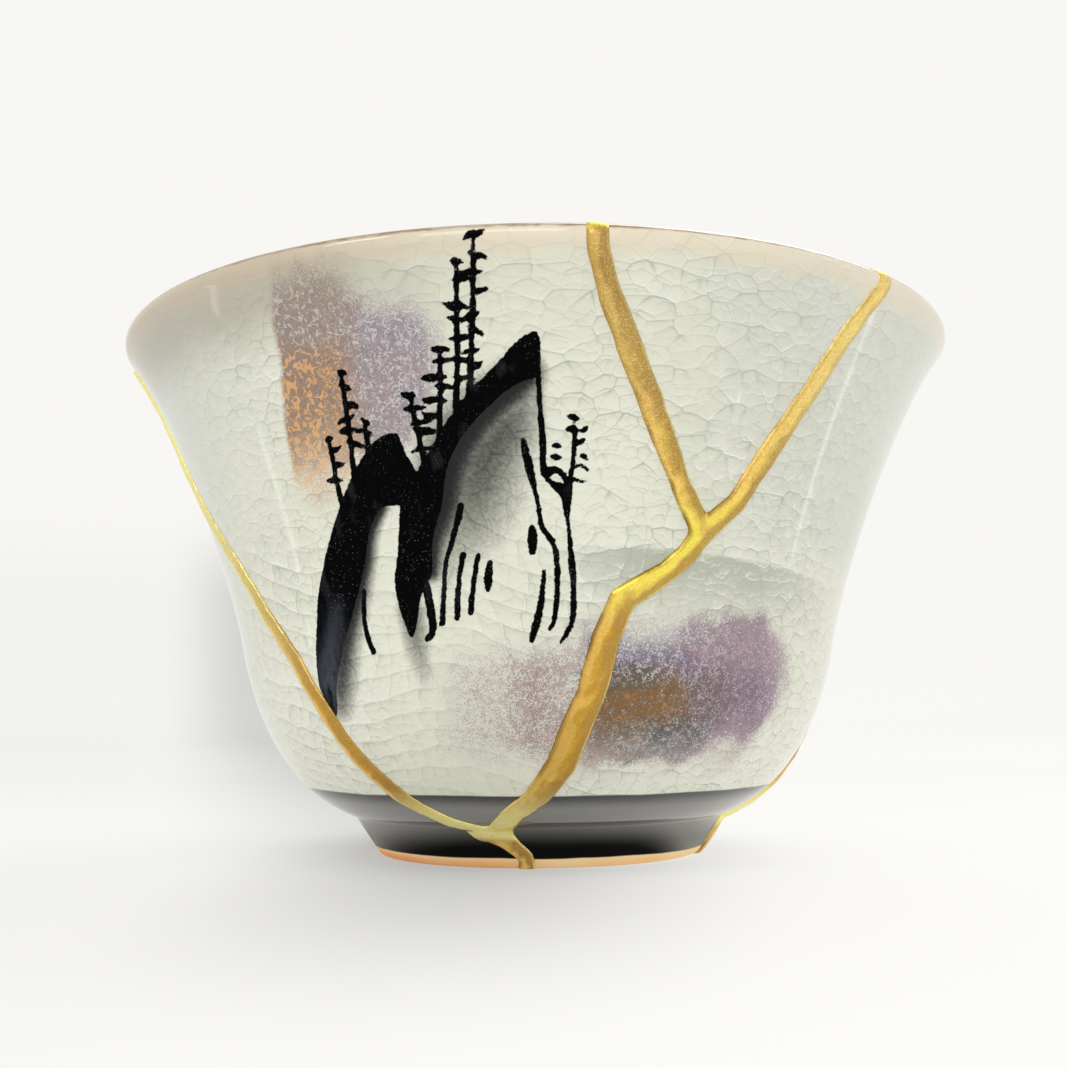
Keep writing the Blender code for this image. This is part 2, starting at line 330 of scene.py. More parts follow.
@dataclass
class Skin:
    """The cup's outline, finely spaced, from the underside's centre to the centre of the floor inside."""

    points: Array
    foot_edge: float
    lip: float
    focus: float

    def __post_init__(self) -> None:
        """Works out the lengths along the outline and its outward normals."""
        self.arcs = lengths_along(self.points)
        along = np.gradient(self.points, self.arcs, axis=0)
        along /= np.linalg.norm(along, axis=1, keepdims=True)
        self.normals = np.stack((along[:, 1], -along[:, 0]), axis=1)
        self.outer = self.arcs < self.lip
        self.total = float(self.arcs[-1])

    def at(self, arcs: Array) -> tuple[Array, Array]:
        """The (radius, height) and the normal at lengths along the outline.

        Args:
            arcs: The lengths.

        Returns:
            The points and the normals, each one a row.
        """
        return interpolated(arcs, self.arcs, self.points), interpolated(arcs, self.arcs, self.normals)

    def arc_at_height(self, heights: Array) -> Array:
        """The length along the outline at heights on the outside."""
        wall = (self.arcs > self.foot_edge) & self.outer
        return np.interp(heights, self.points[wall, 1], self.arcs[wall])

    def arc_at_radius(self, radii: Array) -> Array:
        """The length along the outline at distances from the axis on the underside."""
        under = self.arcs <= self.foot_edge
        return np.interp(radii, self.points[under, 0], self.arcs[under])

    def slope(self, points: Array) -> Array:
        """The angle up from level at which the focus sees points, given as (radius, height)."""
        return np.arctan2(points[..., 1] - self.focus, points[..., 0])

    def arc_behind(self, arcs: Array) -> Array:
        """The length along the outline of the places inside that the focus sees in front of those outside."""
        inside = self.points[~self.outer][::-1]
        return np.interp(self.slope(self.at(arcs)[0]), self.slope(inside), self.arcs[~self.outer][::-1])

    def is_outside(self, points: Array) -> Array:
        """Whether points in space lie nearer to the outside than to the inside, seen from the focus.

        Args:
            points: The places in space, one a row.

        Returns:
            True or false for each place.
        """
        flat = np.stack((np.hypot(points[:, 0], points[:, 1]), points[:, 2]), axis=1)
        slopes = self.slope(flat)
        far = np.hypot(flat[:, 0], flat[:, 1] - self.focus)
        middle = np.zeros(len(points))
        for side in (self.points[self.outer], self.points[~self.outer]):
            order = np.argsort(self.slope(side))
            reach = np.hypot(side[:, 0], side[:, 1] - self.focus)
            middle += 0.5 * np.interp(slopes, self.slope(side)[order], reach[order])
        return far > middle


@dataclass
class CupShape:
    """The turned shape of the cup, from the same sizes as its solids."""

    rim_radius: float = 45.0 * MM
    height: float = 54.5 * MM
    lip_radius: float = 0.95 * MM
    foot_radius: float = 17.3 * MM
    glaze_line: float = 7.4 * MM
    focus: float = 35.0 * MM
    lip_normal: tuple[float, float] = (0.795, -0.606)
    foot_corner: tuple[float, float] = (20.0, 4.1)
    waist: tuple[float, float] = (32.1, 21.7)
    shoulder_handles: tuple = ((28.8, 7.2), (31.4, 17.8))
    flare_handles: tuple = ((33.6, 29.8), (40.1, 47.3))
    inner_waist: tuple[float, float] = (29.3, 22.2)
    inner_flare_handles: tuple = ((38.6, 48.3), (30.8, 30.3))
    bowl_handles: tuple = ((28.3, 17.6), (25.5, 7.6))
    floor: tuple = ((10.0, 6.9), (0.0, 6.6))
    underside: tuple = ((0.0, 2.3), (12.7, 2.6), (14.0, 0.0), (16.95, 0.0))
    foot_chamfer: float = 0.35 * MM
    spacing: float = 0.05 * MM
    rounding: int = 7

    def lip_arc(self, count: int = 60) -> Array:
        """The half round lip: a circle's points from the outside over the top to the inside.

        Args:
            count: How many points to work out.

        Returns:
            The points as (radius, height), one a row.
        """
        start = np.arctan2(self.lip_normal[1], self.lip_normal[0])
        turns = start + np.linspace(0.0, np.pi, count)
        centre = np.array((self.rim_radius - self.lip_radius, self.height - self.lip_radius))
        return centre + self.lip_radius * np.stack((np.cos(turns), np.sin(turns)), axis=1)

    def skin(self) -> Skin:
        """The whole outline: straight runs and cubic arcs end to end, spaced evenly, its corners rounded.

        Each corner is rounded by taking, at every point, the mean of its near neighbours, twice.

        Returns:
            The skin.
        """
        lip = self.lip_arc()
        corner, waist, inner_waist = metres((self.foot_corner, self.waist, self.inner_waist))
        floor = metres(self.floor)
        foot = np.array((self.foot_radius + self.foot_chamfer / 2, self.foot_chamfer))
        runs = [
            metres(self.underside),
            foot[None],
            bezier(corner, metres(self.shoulder_handles), waist),
            bezier(waist, metres(self.flare_handles), lip[0])[1:],
            lip[1:],
            bezier(lip[-1], metres(self.inner_flare_handles), inner_waist)[1:],
            bezier(inner_waist, metres(self.bowl_handles), floor[0])[1:],
            floor[1][None],
        ]
        line = np.vstack(runs)
        arcs = lengths_along(line)
        even = np.arange(0.0, arcs[-1], self.spacing)
        points = interpolated(even, arcs, line)
        kernel = np.ones(self.rounding) / self.rounding
        for _turn in range(2):
            padded = np.pad(points, ((self.rounding // 2,) * 2, (0, 0)), mode="edge")
            points = np.stack([np.convolve(column, kernel, "valid") for column in padded.T], axis=1)
        points[(0, -1), 0] = 0.0
        arcs = lengths_along(points)
        foot_edge = float(arcs[np.argmax(points[:, 0] >= self.foot_radius)])
        top = float(arcs[np.argmax(points[:, 1])])
        return Skin(points, foot_edge, top, self.focus)


def around(azimuths: Array, flat: Array) -> Array:
    """Places in space: x is the radius times the azimuth's sine, and y is less the radius times its cosine.

    Args:
        azimuths: The azimuths, in radians.
        flat: The (radius, height) pairs, in the last axis.

    Returns:
        The places, with their coordinates in the last axis.
    """
    x = flat[..., 0] * np.sin(azimuths)
    y = -flat[..., 0] * np.cos(azimuths)
    return np.stack(np.broadcast_arrays(x, y, flat[..., 1]), axis=-1)


# ------------------------------------------------------------------------------------------- the cracks


@dataclass
class Route:
    """One crack's line on the skin: azimuths in radians, lengths along the outline and gold half widths."""

    azimuths: Array
    arcs: Array
    widths: Array

    def fine(self, skin: Skin, step: float) -> tuple[Array, Array]:
        """The line in space, with a point at each step along it, and its half widths.

        Args:
            skin: The skin it lies on.
            step: The length of a step.

        Returns:
            The points, one a row, and the half widths.
        """
        flat, _normals = skin.at(self.arcs)
        lengths = lengths_along(around(self.azimuths, flat))
        even = np.linspace(0.0, lengths[-1], max(3, int(lengths[-1] / step)))
        arcs = np.interp(even, lengths, self.arcs)
        azimuths = np.interp(even, lengths, self.azimuths)
        return around(azimuths, skin.at(arcs)[0]), np.interp(even, lengths, self.widths)

    def backwards(self) -> "Route":
        """The same line from its other end."""
        return Route(self.azimuths[::-1], self.arcs[::-1], self.widths[::-1])

    def then(self, *others: "Route") -> "Route":
        """One line through this one and on through the others."""
        parts = zip(*((route.azimuths, route.arcs, route.widths) for route in (self, *others)))
        return Route(*(np.concatenate(part) for part in parts))


@dataclass
class Cracks:
    """The lines along which the cup broke, named as a restorer would, and how wide the gold is on each."""

    upper_fork: tuple = (25.2, 30.7, 1.15)
    lower_fork: tuple = (-11.5, 3.5, 1.2)
    front_foot: tuple = (-4.0, 1.1, 0.75)
    side_foot: tuple = (76.0, 1.1, 0.95)
    wedge_left: Places = (
        (21.0, 34.2, 0.95), (16.2, 39.5, 1.1), (12.1, 44.4, 1.1), (8.6, 49.0, 1.0), (6.6, 52.6, 0.9),
    )
    wedge_right: Places = (
        (30.3, 33.4, 1.1), (34.2, 37.8, 1.15), (39.1, 43.6, 1.1), (42.9, 49.4, 1.1), (45.0, 52.6, 1.0),
    )
    front: Places = (
        (-6.4, 5.5, 1.2), (-0.5, 7.3, 1.25), (4.0, 10.2, 1.4), (6.5, 13.6, 1.4), (8.7, 16.4, 1.35),
        (10.7, 21.3, 1.3), (13.3, 24.8, 1.25), (19.8, 27.1, 1.1), (23.2, 28.8, 1.1),
    )
    left: Places = (
        (-16.6, 3.6, 1.0), (-23.5, 4.8, 0.9), (-31.0, 7.2, 1.0), (-37.2, 11.1, 0.95), (-42.3, 16.2, 0.9),
        (-46.5, 20.2, 0.9), (-53.6, 24.6, 0.95), (-60.0, 29.3, 0.9), (-66.8, 33.4, 0.8),
        (-74.0, 38.0, 0.75), (-81.5, 44.5, 0.8), (-85.5, 52.6, 0.9),
    )
    back: Places = (
        (77.0, 3.6, 1.0), (82.0, 7.0, 1.0), (89.0, 12.5, 1.1), (95.0, 19.5, 1.1), (101.0, 28.0, 1.1),
        (108.0, 36.0, 1.1), (112.0, 45.0, 1.2), (118.0, 52.6, 1.1),
    )
    base_plan: tuple[tuple[float, float], ...] = (
        (-1.2, -16.6), (-0.9, -15.4), (-0.6, -13.9), (0.2, -12.3), (2.2, -8.6), (6.4, -6.2), (10.7, -5.2),
        (12.9, -4.7), (14.6, -4.5), (16.06, -4.0),
    )
    base_width: float = 0.85
    hairline: float = 0.1 * MM
    fan_start: float = 0.3
    fan_end: float = 1.25
    fan_overrun: float = 0.6 * MM
    fan_above_lip: float = 3.0 * MM

    def on_wall(self, skin: Skin, places: Places) -> Route:
        """A route over the outside through (azimuth, height, half width) places."""
        table = np.array(places)
        return Route(np.radians(table[:, 0]), skin.arc_at_height(table[:, 1] * MM), table[:, 2] * MM)

    def behind(self, skin: Skin, route: Route) -> Route:
        """The same crack on the inside."""
        return Route(route.azimuths, skin.arc_behind(route.arcs), route.widths)

    def walls(self) -> dict[str, Places]:
        """The cracks that run up to the lip, from where they start.

        Returns:
            Each crack's (azimuth, height, half width) places, by its name.
        """
        return {
            "wedge-left": (self.upper_fork, *self.wedge_left),
            "wedge-right": (self.upper_fork, *self.wedge_right),
            "left": (self.lower_fork, *self.left),
            "back": (self.side_foot, *self.back),
        }

    def base(self, skin: Skin) -> Route:
        """The crack from the lower fork down the foot, under it and out at its side.

        Args:
            skin: The skin that it lies on.

        Returns:
            The crack's route.
        """
        plan = np.array(self.base_plan) * MM
        azimuths = np.arctan2(plan[:, 0], -plan[:, 1])
        arcs = skin.arc_at_radius(np.linalg.norm(plan, axis=1))
        start = self.on_wall(skin, (self.lower_fork, self.front_foot))
        end = self.on_wall(skin, (self.side_foot,))
        return start.then(Route(azimuths, arcs, np.full(len(plan), self.base_width * MM)), end)

    def outer(self, skin: Skin) -> dict[str, Route]:
        """Every crack's route on the outside.

        Args:
            skin: The skin that they lie on.

        Returns:
            The routes, by the names of the cracks.
        """
        routes = {name: self.on_wall(skin, places) for name, places in self.walls().items()}
        routes["front"] = self.on_wall(skin, (self.lower_fork, *self.front, self.upper_fork))
        routes["base"] = self.base(skin)
        return routes

    def gold(self, skin: Skin) -> list[Route]:
        """Every run of gold: a wall's goes up the outside, over the lip and down the inside as one.

        Args:
            skin: The skin that they lie on.

        Returns:
            The routes of the runs.
        """
        runs = []
        for name, route in self.outer(skin).items():
            inside = self.behind(skin, route)
            runs += [route.then(inside.backwards())] if name in self.walls() else [route, inside]
        return runs

    def cutters(self, skin: Skin, shape: CupShape) -> list[bpy.types.Object]:
        """The cuts: each a fan of lines from the focus through a crack, as thick as the hairline.

        Args:
            skin: The skin that the cracks lie on.
            shape: The cup's sizes.

        Returns:
            One object a crack.
        """
        focus = np.array((0.0, 0.0, skin.focus))
        cuts = []
        for name, route in self.outer(skin).items():
            places = around(route.azimuths, skin.at(route.arcs)[0])
            if name in self.walls():
                above = np.array((shape.rim_radius, shape.height + self.fan_above_lip))
                places = np.vstack((places, around(route.azimuths[-1], above)[None]))
            ends = places[[0, -1]] - places[[1, -2]]
            ends *= self.fan_overrun / np.linalg.norm(ends, axis=1, keepdims=True)
            places[[0, -1]] += ends
            near = focus + (places - focus) * self.fan_start
            far = focus + (places - focus) * self.fan_end
            first = np.arange(len(places) - 1)
            count = len(places)
            faces = np.stack((first, first + 1, first + count + 1, first + count), axis=1)
            cut = new_mesh("crack-" + name, np.vstack((near, far)), faces)
            solidify = cut.modifiers.new("thickness", "SOLIDIFY")
            solidify.thickness = self.hairline
            solidify.offset = 0.0
            cuts.append(cut)
        return cuts


# ----------------------------------------------------------------------------------------- the painting


@dataclass(frozen=True)
class Dab:
    """A soft edged dab of enamel.

    Its middle is an azimuth and a height, and its reach a half width and a half height in millimetres. The
    cover is how much of the glaze it hides, and falls to nothing over the fade, in millimetres.
    """

    middle: tuple[float, float]
    reach: tuple[float, float]
    fade: float
    colour: Colour
    cover: float


@dataclass(frozen=True)
class Pine:
    """A pine on a peak: a thin trunk from its foot to its top, with pairs of short flat dabs up it."""

    foot: tuple[float, float]
    top: tuple[float, float]
    dabs: int
    reach: float
    seed: int

    def strokes(self) -> list[Places]:
        """The trunk's stroke, thinner to its top, and the dabs', which lean and vary by a seeded draw.

        Returns:
            The strokes, as (azimuth, height, width) places.
        """
        random = np.random.default_rng(self.seed)
        foot, top = np.array(self.foot), np.array(self.top)
        trunk = tuple(
            (*(foot + (top - foot) * share + (random.uniform(-0.12, 0.12), 0.0)), width)
            for share, width in ((0.0, 0.65), (0.35, 0.5), (0.7, 0.5), (1.0, 0.35))
        )
        strokes = [trunk]
        for index in range(self.dabs):
            share = 1.0 - (index + random.uniform(-0.2, 0.2)) / (self.dabs + 0.8)
            azimuth, height = foot + (top - foot) * min(share, 1.0)
            side = random.choice((-1.0, 1.0)) if index else 0.0
            reach = self.reach * random.uniform(0.6, 1.4) * (0.65 if index == 0 else 1.0)
            lift = random.uniform(-0.35, 0.35)
            centre = azimuth + side * reach * random.uniform(0.1, 0.75)
            width = random.uniform(0.45, 0.72)
            strokes.append((
                (centre - reach, height + lift, random.uniform(0.12, 0.35)),
                (centre - reach * 0.35, height, width),
                (centre + reach * 0.35, height, width * random.uniform(0.7, 1.0)),
                (centre + reach, height - lift, random.uniform(0.12, 0.35)),
            ))
        return strokes


@dataclass
class Painting:
    """The enamel on the front: two brushed peaks with pines on them, and two dabbed patches of cloud.

    A peak is the (azimuth, height) places round its edge, a stroke is (azimuth, height, width) places and a
    wash is (azimuth, height, width, strength) places.
    """

    tall_peak: tuple[Place, ...] = (
        (0.0, 46.4), (0.7, 45.0), (0.1, 43.0), (-1.6, 42.6), (-4.8, 41.3), (-9.0, 38.9), (-12.0, 36.2),
        (-13.4, 33.0), (-15.4, 30.0), (-16.0, 27.2), (-18.0, 25.4), (-20.2, 21.7), (-21.8, 23.6),
        (-22.4, 26.2), (-21.0, 29.6), (-19.6, 33.2), (-16.8, 35.6), (-13.4, 38.2), (-9.8, 41.0),
        (-5.2, 43.7), (-2.2, 45.6),
    )
    low_peak: tuple[Place, ...] = (
        (-18.9, 39.0), (-17.8, 37.3), (-16.6, 35.2), (-18.6, 33.2), (-22.8, 32.9), (-25.4, 31.0),
        (-27.2, 28.2), (-29.8, 25.2), (-33.4, 21.4), (-36.6, 17.8), (-38.0, 15.4), (-39.6, 14.6),
        (-41.0, 17.0), (-40.8, 19.4), (-39.6, 22.6), (-37.2, 26.4), (-33.4, 30.2), (-29.8, 33.4),
        (-26.0, 36.3), (-22.3, 38.4),
    )
    contours: tuple[Places, ...] = (
        ((0.3, 45.2, 0.5), (0.5, 41.1, 0.45), (0.9, 37.9, 0.6), (1.0, 35.5, 0.6), (2.0, 34.5, 0.5),
         (3.9, 33.7, 1.1), (4.3, 32.0, 0.5), (4.6, 30.5, 0.35), (5.1, 28.0, 0.6), (5.5, 25.3, 0.5),
         (5.3, 22.8, 0.5), (3.6, 21.0, 0.3)),
        ((-0.7, 30.7, 0.6), (-0.6, 29.7, 0.9), (-0.7, 28.8, 0.7)),
        ((-1.7, 38.0, 0.5), (-0.9, 35.6, 0.75), (0.1, 33.0, 0.35), (0.7, 30.9, 0.5), (2.2, 29.6, 0.5),
         (2.9, 28.0, 0.5), (3.0, 25.3, 0.5), (2.5, 22.9, 0.45), (1.9, 22.2, 0.35)),
        ((1.0, 27.1, 0.4), (0.6, 24.7, 0.55), (-0.2, 22.7, 0.7), (-0.9, 21.2, 0.45)),
        ((-10.7, 32.7, 0.65), (-12.4, 29.9, 0.5), (-13.7, 28.0, 0.45), (-14.6, 24.8, 0.5),
         (-15.1, 22.8, 0.55)),
        ((-11.0, 28.6, 0.55), (-11.9, 26.4, 0.45), (-12.6, 23.3, 0.6)),
        ((-8.7, 28.5, 0.5), (-9.6, 26.4, 0.45), (-10.4, 23.7, 0.55)),
        ((-7.0, 27.9, 0.5), (-7.3, 26.8, 0.75), (-7.5, 25.7, 0.55)),
        ((-28.1, 25.9, 0.5), (-28.8, 23.3, 0.5), (-28.4, 21.5, 0.5), (-27.7, 20.5, 0.6)),
        ((-17.2, 26.2, 0.8), (-16.7, 23.4, 0.8), (-16.9, 22.0, 0.7), (-17.8, 21.5, 0.5)),
    )
    pines: tuple[Pine, ...] = (
        Pine((-8.3, 41.2), (-6.2, 53.4), 8, 1.25, 11),
        Pine((-10.2, 40.4), (-8.3, 51.6), 7, 1.1, 12),
        Pine((-12.9, 38.4), (-11.4, 45.3), 6, 1.2, 13),
        Pine((-15.2, 35.8), (-16.2, 42.0), 5, 1.5, 14),
        Pine((-26.3, 36.0), (-24.9, 44.3), 6, 1.2, 15),
        Pine((-23.3, 37.8), (-22.9, 40.2), 2, 1.1, 16),
        Pine((-29.4, 33.8), (-29.2, 39.1), 4, 1.0, 17),
    )
    lone_pine: tuple[Places, ...] = (
        ((4.3, 33.0, 0.8), (4.7, 35.0, 0.5), (5.0, 36.6, 0.42), (5.1, 38.5, 0.45)),
        ((4.2, 39.8, 0.4), (4.9, 39.7, 0.6), (5.5, 39.6, 0.25)),
        ((4.1, 38.8, 0.45), (4.8, 38.8, 0.75), (5.4, 38.7, 0.4)),
        ((6.1, 38.6, 0.3), (6.4, 38.8, 0.55), (6.6, 39.0, 0.3)),
        ((5.3, 37.8, 0.35), (5.8, 37.8, 0.6), (6.3, 38.0, 0.25)),
        ((2.3, 37.5, 0.3), (2.8, 37.5, 0.5), (3.3, 37.4, 0.3)),
        ((2.1, 36.6, 0.35), (2.7, 36.6, 0.62), (3.3, 36.5, 0.35)),
        ((6.0, 36.7, 0.3), (6.4, 36.6, 0.5), (6.8, 36.4, 0.25)),
        ((5.1, 35.7, 0.2), (6.0, 35.9, 0.3), (6.8, 35.6, 0.45), (7.1, 35.5, 0.2)),
        ((5.0, 34.9, 0.25), (5.9, 34.6, 0.4), (6.9, 34.6, 0.2)),
        ((1.3, 35.2, 0.9), (2.4, 35.5, 0.7), (3.5, 35.2, 0.5), (4.5, 34.4, 0.6)),
    )
    washes: Washes = (
        ((-0.6, 43.4, 1.0, 1.0), (-1.8, 42.5, 1.4, 1.0), (-4.8, 41.2, 1.9, 1.0), (-9.0, 38.8, 2.2, 1.0),
         (-12.0, 36.0, 2.4, 1.0), (-13.4, 32.8, 1.9, 1.0), (-15.4, 30.0, 1.3, 0.95), (-16.0, 27.2, 0.7, 0.9)),
        ((-1.6, 41.0, 1.2, 0.42), (-3.8, 39.0, 2.4, 0.62), (-6.6, 36.8, 3.0, 0.66),
         (-8.8, 34.2, 3.6, 0.56), (-10.4, 31.8, 3.2, 0.40), (-12.8, 29.4, 2.0, 0.28),
         (-14.4, 27.0, 1.2, 0.18)),
        ((-22.8, 32.9, 0.6, 1.0), (-25.4, 31.0, 0.8, 1.0), (-27.2, 28.2, 0.9, 1.0), (-29.8, 25.2, 1.1, 0.95),
         (-33.2, 21.4, 1.4, 0.85), (-35.6, 17.8, 1.5, 0.7), (-37.0, 15.6, 1.4, 0.4)),
        ((-20.2, 24.0, 1.1, 0.65), (-19.8, 22.0, 1.1, 0.46), (-19.3, 20.0, 1.0, 0.3),
         (-18.8, 17.6, 0.8, 0.1)),
        ((-0.2, 43.4, 0.7, 0.55), (0.2, 41.4, 0.6, 0.38), (0.6, 38.6, 0.5, 0.2)),
    )
    hazes: Washes = (
        ((-33.5, 25.0, 0.9, 0.15), (-36.6, 21.4, 1.5, 0.6), (-38.6, 17.6, 1.8, 0.9), (-39.4, 16.0, 1.6, 1.0)),
    )
    grounds: tuple[Dab, ...] = (
        Dab((-28.4, 49.6), (3.4, 1.0), 3.8, (0.28, 0.23, 0.18), 0.62),
        Dab((-18.6, 44.0), (1.2, 2.4), 4.8, (0.29, 0.245, 0.28), 0.92),
        Dab((-29.6, 46.8), (2.0, 1.8), 3.8, (0.29, 0.22, 0.18), 0.85),
        Dab((-23.6, 42.2), (2.6, 1.8), 3.6, (0.31, 0.25, 0.25), 0.80),
        Dab((-30.2, 42.4), (2.4, 3.0), 3.0, (0.29, 0.18, 0.12), 0.92),
        Dab((-31.0, 36.8), (1.2, 1.4), 3.4, (0.54, 0.38, 0.25), 0.5),
        Dab((-6.2, 15.6), (2.4, 2.4), 3.8, (0.30, 0.22, 0.20), 0.46),
        Dab((3.2, 15.8), (1.0, 3.0), 4.0, (0.34, 0.25, 0.25), 0.56),
        Dab((21.0, 20.2), (6.5, 0.8), 2.8, (0.34, 0.31, 0.32), 0.64),
        Dab((22.5, 18.8), (6.0, 0.5), 2.0, (0.17, 0.135, 0.22), 0.92),
        Dab((38.6, 17.2), (1.8, 0.8), 5.2, (0.34, 0.25, 0.31), 0.66),
        Dab((33.5, 13.6), (2.6, 0.4), 2.8, (0.36, 0.27, 0.31), 0.66),
        Dab((35.0, 17.8), (2.2, 1.2), 5.0, (0.19, 0.11, 0.175), 0.96),
        Dab((37.0, 20.6), (4.4, 0.4), 2.8, (0.36, 0.27, 0.29), 0.50),
        Dab((27.0, 16.2), (2.4, 1.2), 2.6, (0.14, 0.095, 0.095), 0.92),
        Dab((17.5, 15.6), (2.8, 1.4), 2.2, (0.17, 0.080, 0.018), 1.0),
        Dab((14.0, 18.0), (2.0, 0.4), 1.5, (0.09, 0.065, 0.035), 0.92),
        Dab((23.0, 12.2), (3.2, 0.4), 1.8, (0.06, 0.065, 0.075), 1.0),
        Dab((13.6, 12.4), (1.4, 0.5), 2.0, (0.16, 0.11, 0.07), 0.8),
        Dab((24.0, 10.8), (7.4, 0.3), 1.8, (0.44, 0.36, 0.35), 0.44),
    )
    curls: tuple[Dab, ...] = (
        Dab((-17.8, 44.2), (1.8, 2.4), 4.6, (0.56, 0.52, 0.57), 0.9),
        Dab((-26.4, 49.0), (3.4, 0.8), 3.0, (0.52, 0.47, 0.43), 0.55),
        Dab((-30.4, 42.0), (2.2, 2.6), 2.8, (0.68, 0.37, 0.13), 0.85),
        Dab((-31.4, 37.6), (0.8, 0.8), 2.6, (0.72, 0.46, 0.24), 0.6),
        Dab((19.0, 20.3), (6.0, 1.2), 2.4, (0.60, 0.57, 0.60), 0.9),
        Dab((36.0, 18.0), (4.0, 2.0), 3.8, (0.52, 0.44, 0.50), 0.62),
        Dab((23.0, 12.4), (4.0, 0.5), 2.0, (0.52, 0.52, 0.51), 0.85),
        Dab((-3.6, 15.2), (3.8, 3.4), 3.4, (0.70, 0.67, 0.63), 0.95),
        Dab((18.5, 15.3), (2.4, 0.9), 1.8, (0.42, 0.20, 0.05), 0.4),
    )
    tape: float = -24.7
    tape_fade: float = 1.1
    dense_from: float = -43.0
    dense_to: float = 9.0
    dense_above: float = 14.0 * MM
    beyond: float = 9.0
    stroke_steps: int = 5
    area_steps: int = 6
    wash_steps: int = 4
    waver: Ripples = ((0.8, 5.0 * MM, 41), (0.5, 1.8 * MM, 42))

    def masks(self, skin: Skin, points: Array) -> dict[Mask, Array]:
        """Every mask of the painting at points of the clay.

        The points are laid out flat: across, the azimuth times the radius there, and up, the length along
        the outline. Ink is the distance from the nearest stroke or area in millimetres, below zero inside.
        The ground and the curls are colours, and the others run from 0 to 1.

        Args:
            skin: The skin they lie on.
            points: The places in space, one a row.

        Returns:
            The masks, each with one value a point.
        """
        outside = skin.is_outside(points)
        azimuths = np.arctan2(points[:, 0], -points[:, 1])
        radii = np.hypot(points[:, 0], points[:, 1])
        flat = np.stack((azimuths * radii, skin.arc_at_height(points[:, 2])), axis=1) / MM
        near = outside & (azimuths > np.radians(self.dense_from)) & (azimuths < np.radians(self.dense_to))
        near &= points[:, 2] > self.dense_above
        masks = {Mask.OUTSIDE: outside.astype(np.float32)}
        ink = np.full(len(points), 1.0, np.float32)
        wash = np.zeros(len(points), np.float32)
        haze = np.zeros(len(points), np.float32)
        if near.any():
            here = flat[near]
            ink[near] = np.clip(-self.inked(skin, here), -1.0, 1.0)
            wash[near] = self.brushed(skin, here, self.washes)
            haze[near] = self.brushed(skin, here, self.hazes)
        masks |= {Mask.INK: ink, Mask.WASH: wash, Mask.HAZE: haze}
        ground, cover = self.dabbed(skin, points, flat, self.grounds)
        masks |= {Mask.GROUND: ground, Mask.GROUND_COVER: cover * outside}
        curls, cover = self.dabbed(skin, points, flat, self.curls)
        return masks | {Mask.CURLS: curls, Mask.CURLS_COVER: cover * outside}

    def laid_flat(self, skin: Skin, places: Array) -> Array:
        """Places given as (azimuth, height, ...), as (across, up, ...) in millimetres.

        Args:
            skin: The skin that they lie on.
            places: The places, one a row.

        Returns:
            The same rows, laid flat.
        """
        arcs = skin.arc_at_height(places[:, 1] * MM)
        across = np.radians(places[:, 0]) * skin.at(arcs)[0][:, 0]
        return np.column_stack((across / MM, arcs / MM, places[:, 2:]))

    def inked(self, skin: Skin, here: Array) -> Array:
        """How far inside the nearest ink each flat place lies, in millimetres.

        Args:
            skin: The skin that it lies on.
            here: The flat places, one a row.

        Returns:
            One length a place, above zero inside.
        """
        strokes = [*self.contours, *self.lone_pine]
        for pine in self.pines:
            strokes += pine.strokes()
        best = np.full(len(here), -self.beyond)
        for stroke in strokes:
            best = np.maximum(best, self.reach(skin, here, stroke))
        for area in (self.tall_peak, self.low_peak):
            best = np.maximum(best, self.inside(skin, here, area))
        return best

    def reach(self, skin: Skin, here: Array, stroke: Places) -> Array:
        """How far inside one stroke each flat place lies, in millimetres.

        Args:
            skin: The skin that it lies on.
            here: The flat places, one a row.
            stroke: The (azimuth, height, width) places down its middle.

        Returns:
            One length a place, above zero inside.
        """
        line = flowing(self.laid_flat(skin, np.array(stroke)), self.stroke_steps)
        margin = 2.0 + line[:, 2].max()
        box = np.all((here > line[:, :2].min(0) - margin) & (here < line[:, :2].max(0) + margin), axis=1)
        best = np.full(len(here), -self.beyond)
        inner = best[box]
        for start, end in zip(line, line[1:]):
            widths = (start[2] / 2, end[2] / 2)
            inner = np.maximum(inner, segment_reach(here[box], start[:2], end[:2], widths))
        best[box] = inner
        return best

    def inside(self, skin: Skin, here: Array, area: tuple[Place, ...]) -> Array:
        """How far inside one area each flat place lies: the distance to its edge, with its sign by crossings.

        Args:
            skin: The skin that the area lies on.
            here: The flat places.
            area: The places round its edge.

        Returns:
            One length a place in millimetres, above zero inside.
        """
        edge = flowing(self.laid_flat(skin, np.array(area)), self.area_steps, closed=True)
        distance = np.full(len(here), self.beyond)
        within = np.zeros(len(here), bool)
        for start, end in zip(edge, np.roll(edge, -1, axis=0)):
            distance = np.minimum(distance, -segment_reach(here, start, end, (0.0, 0.0)))
            crosses = (start[1] > here[:, 1]) != (end[1] > here[:, 1])
            rise = end[1] - start[1] if end[1] != start[1] else TINY
            crossing = start[0] + (here[:, 1] - start[1]) / rise * (end[0] - start[0])
            within ^= crosses & (here[:, 0] < crossing)
        return np.where(within, distance, -distance)

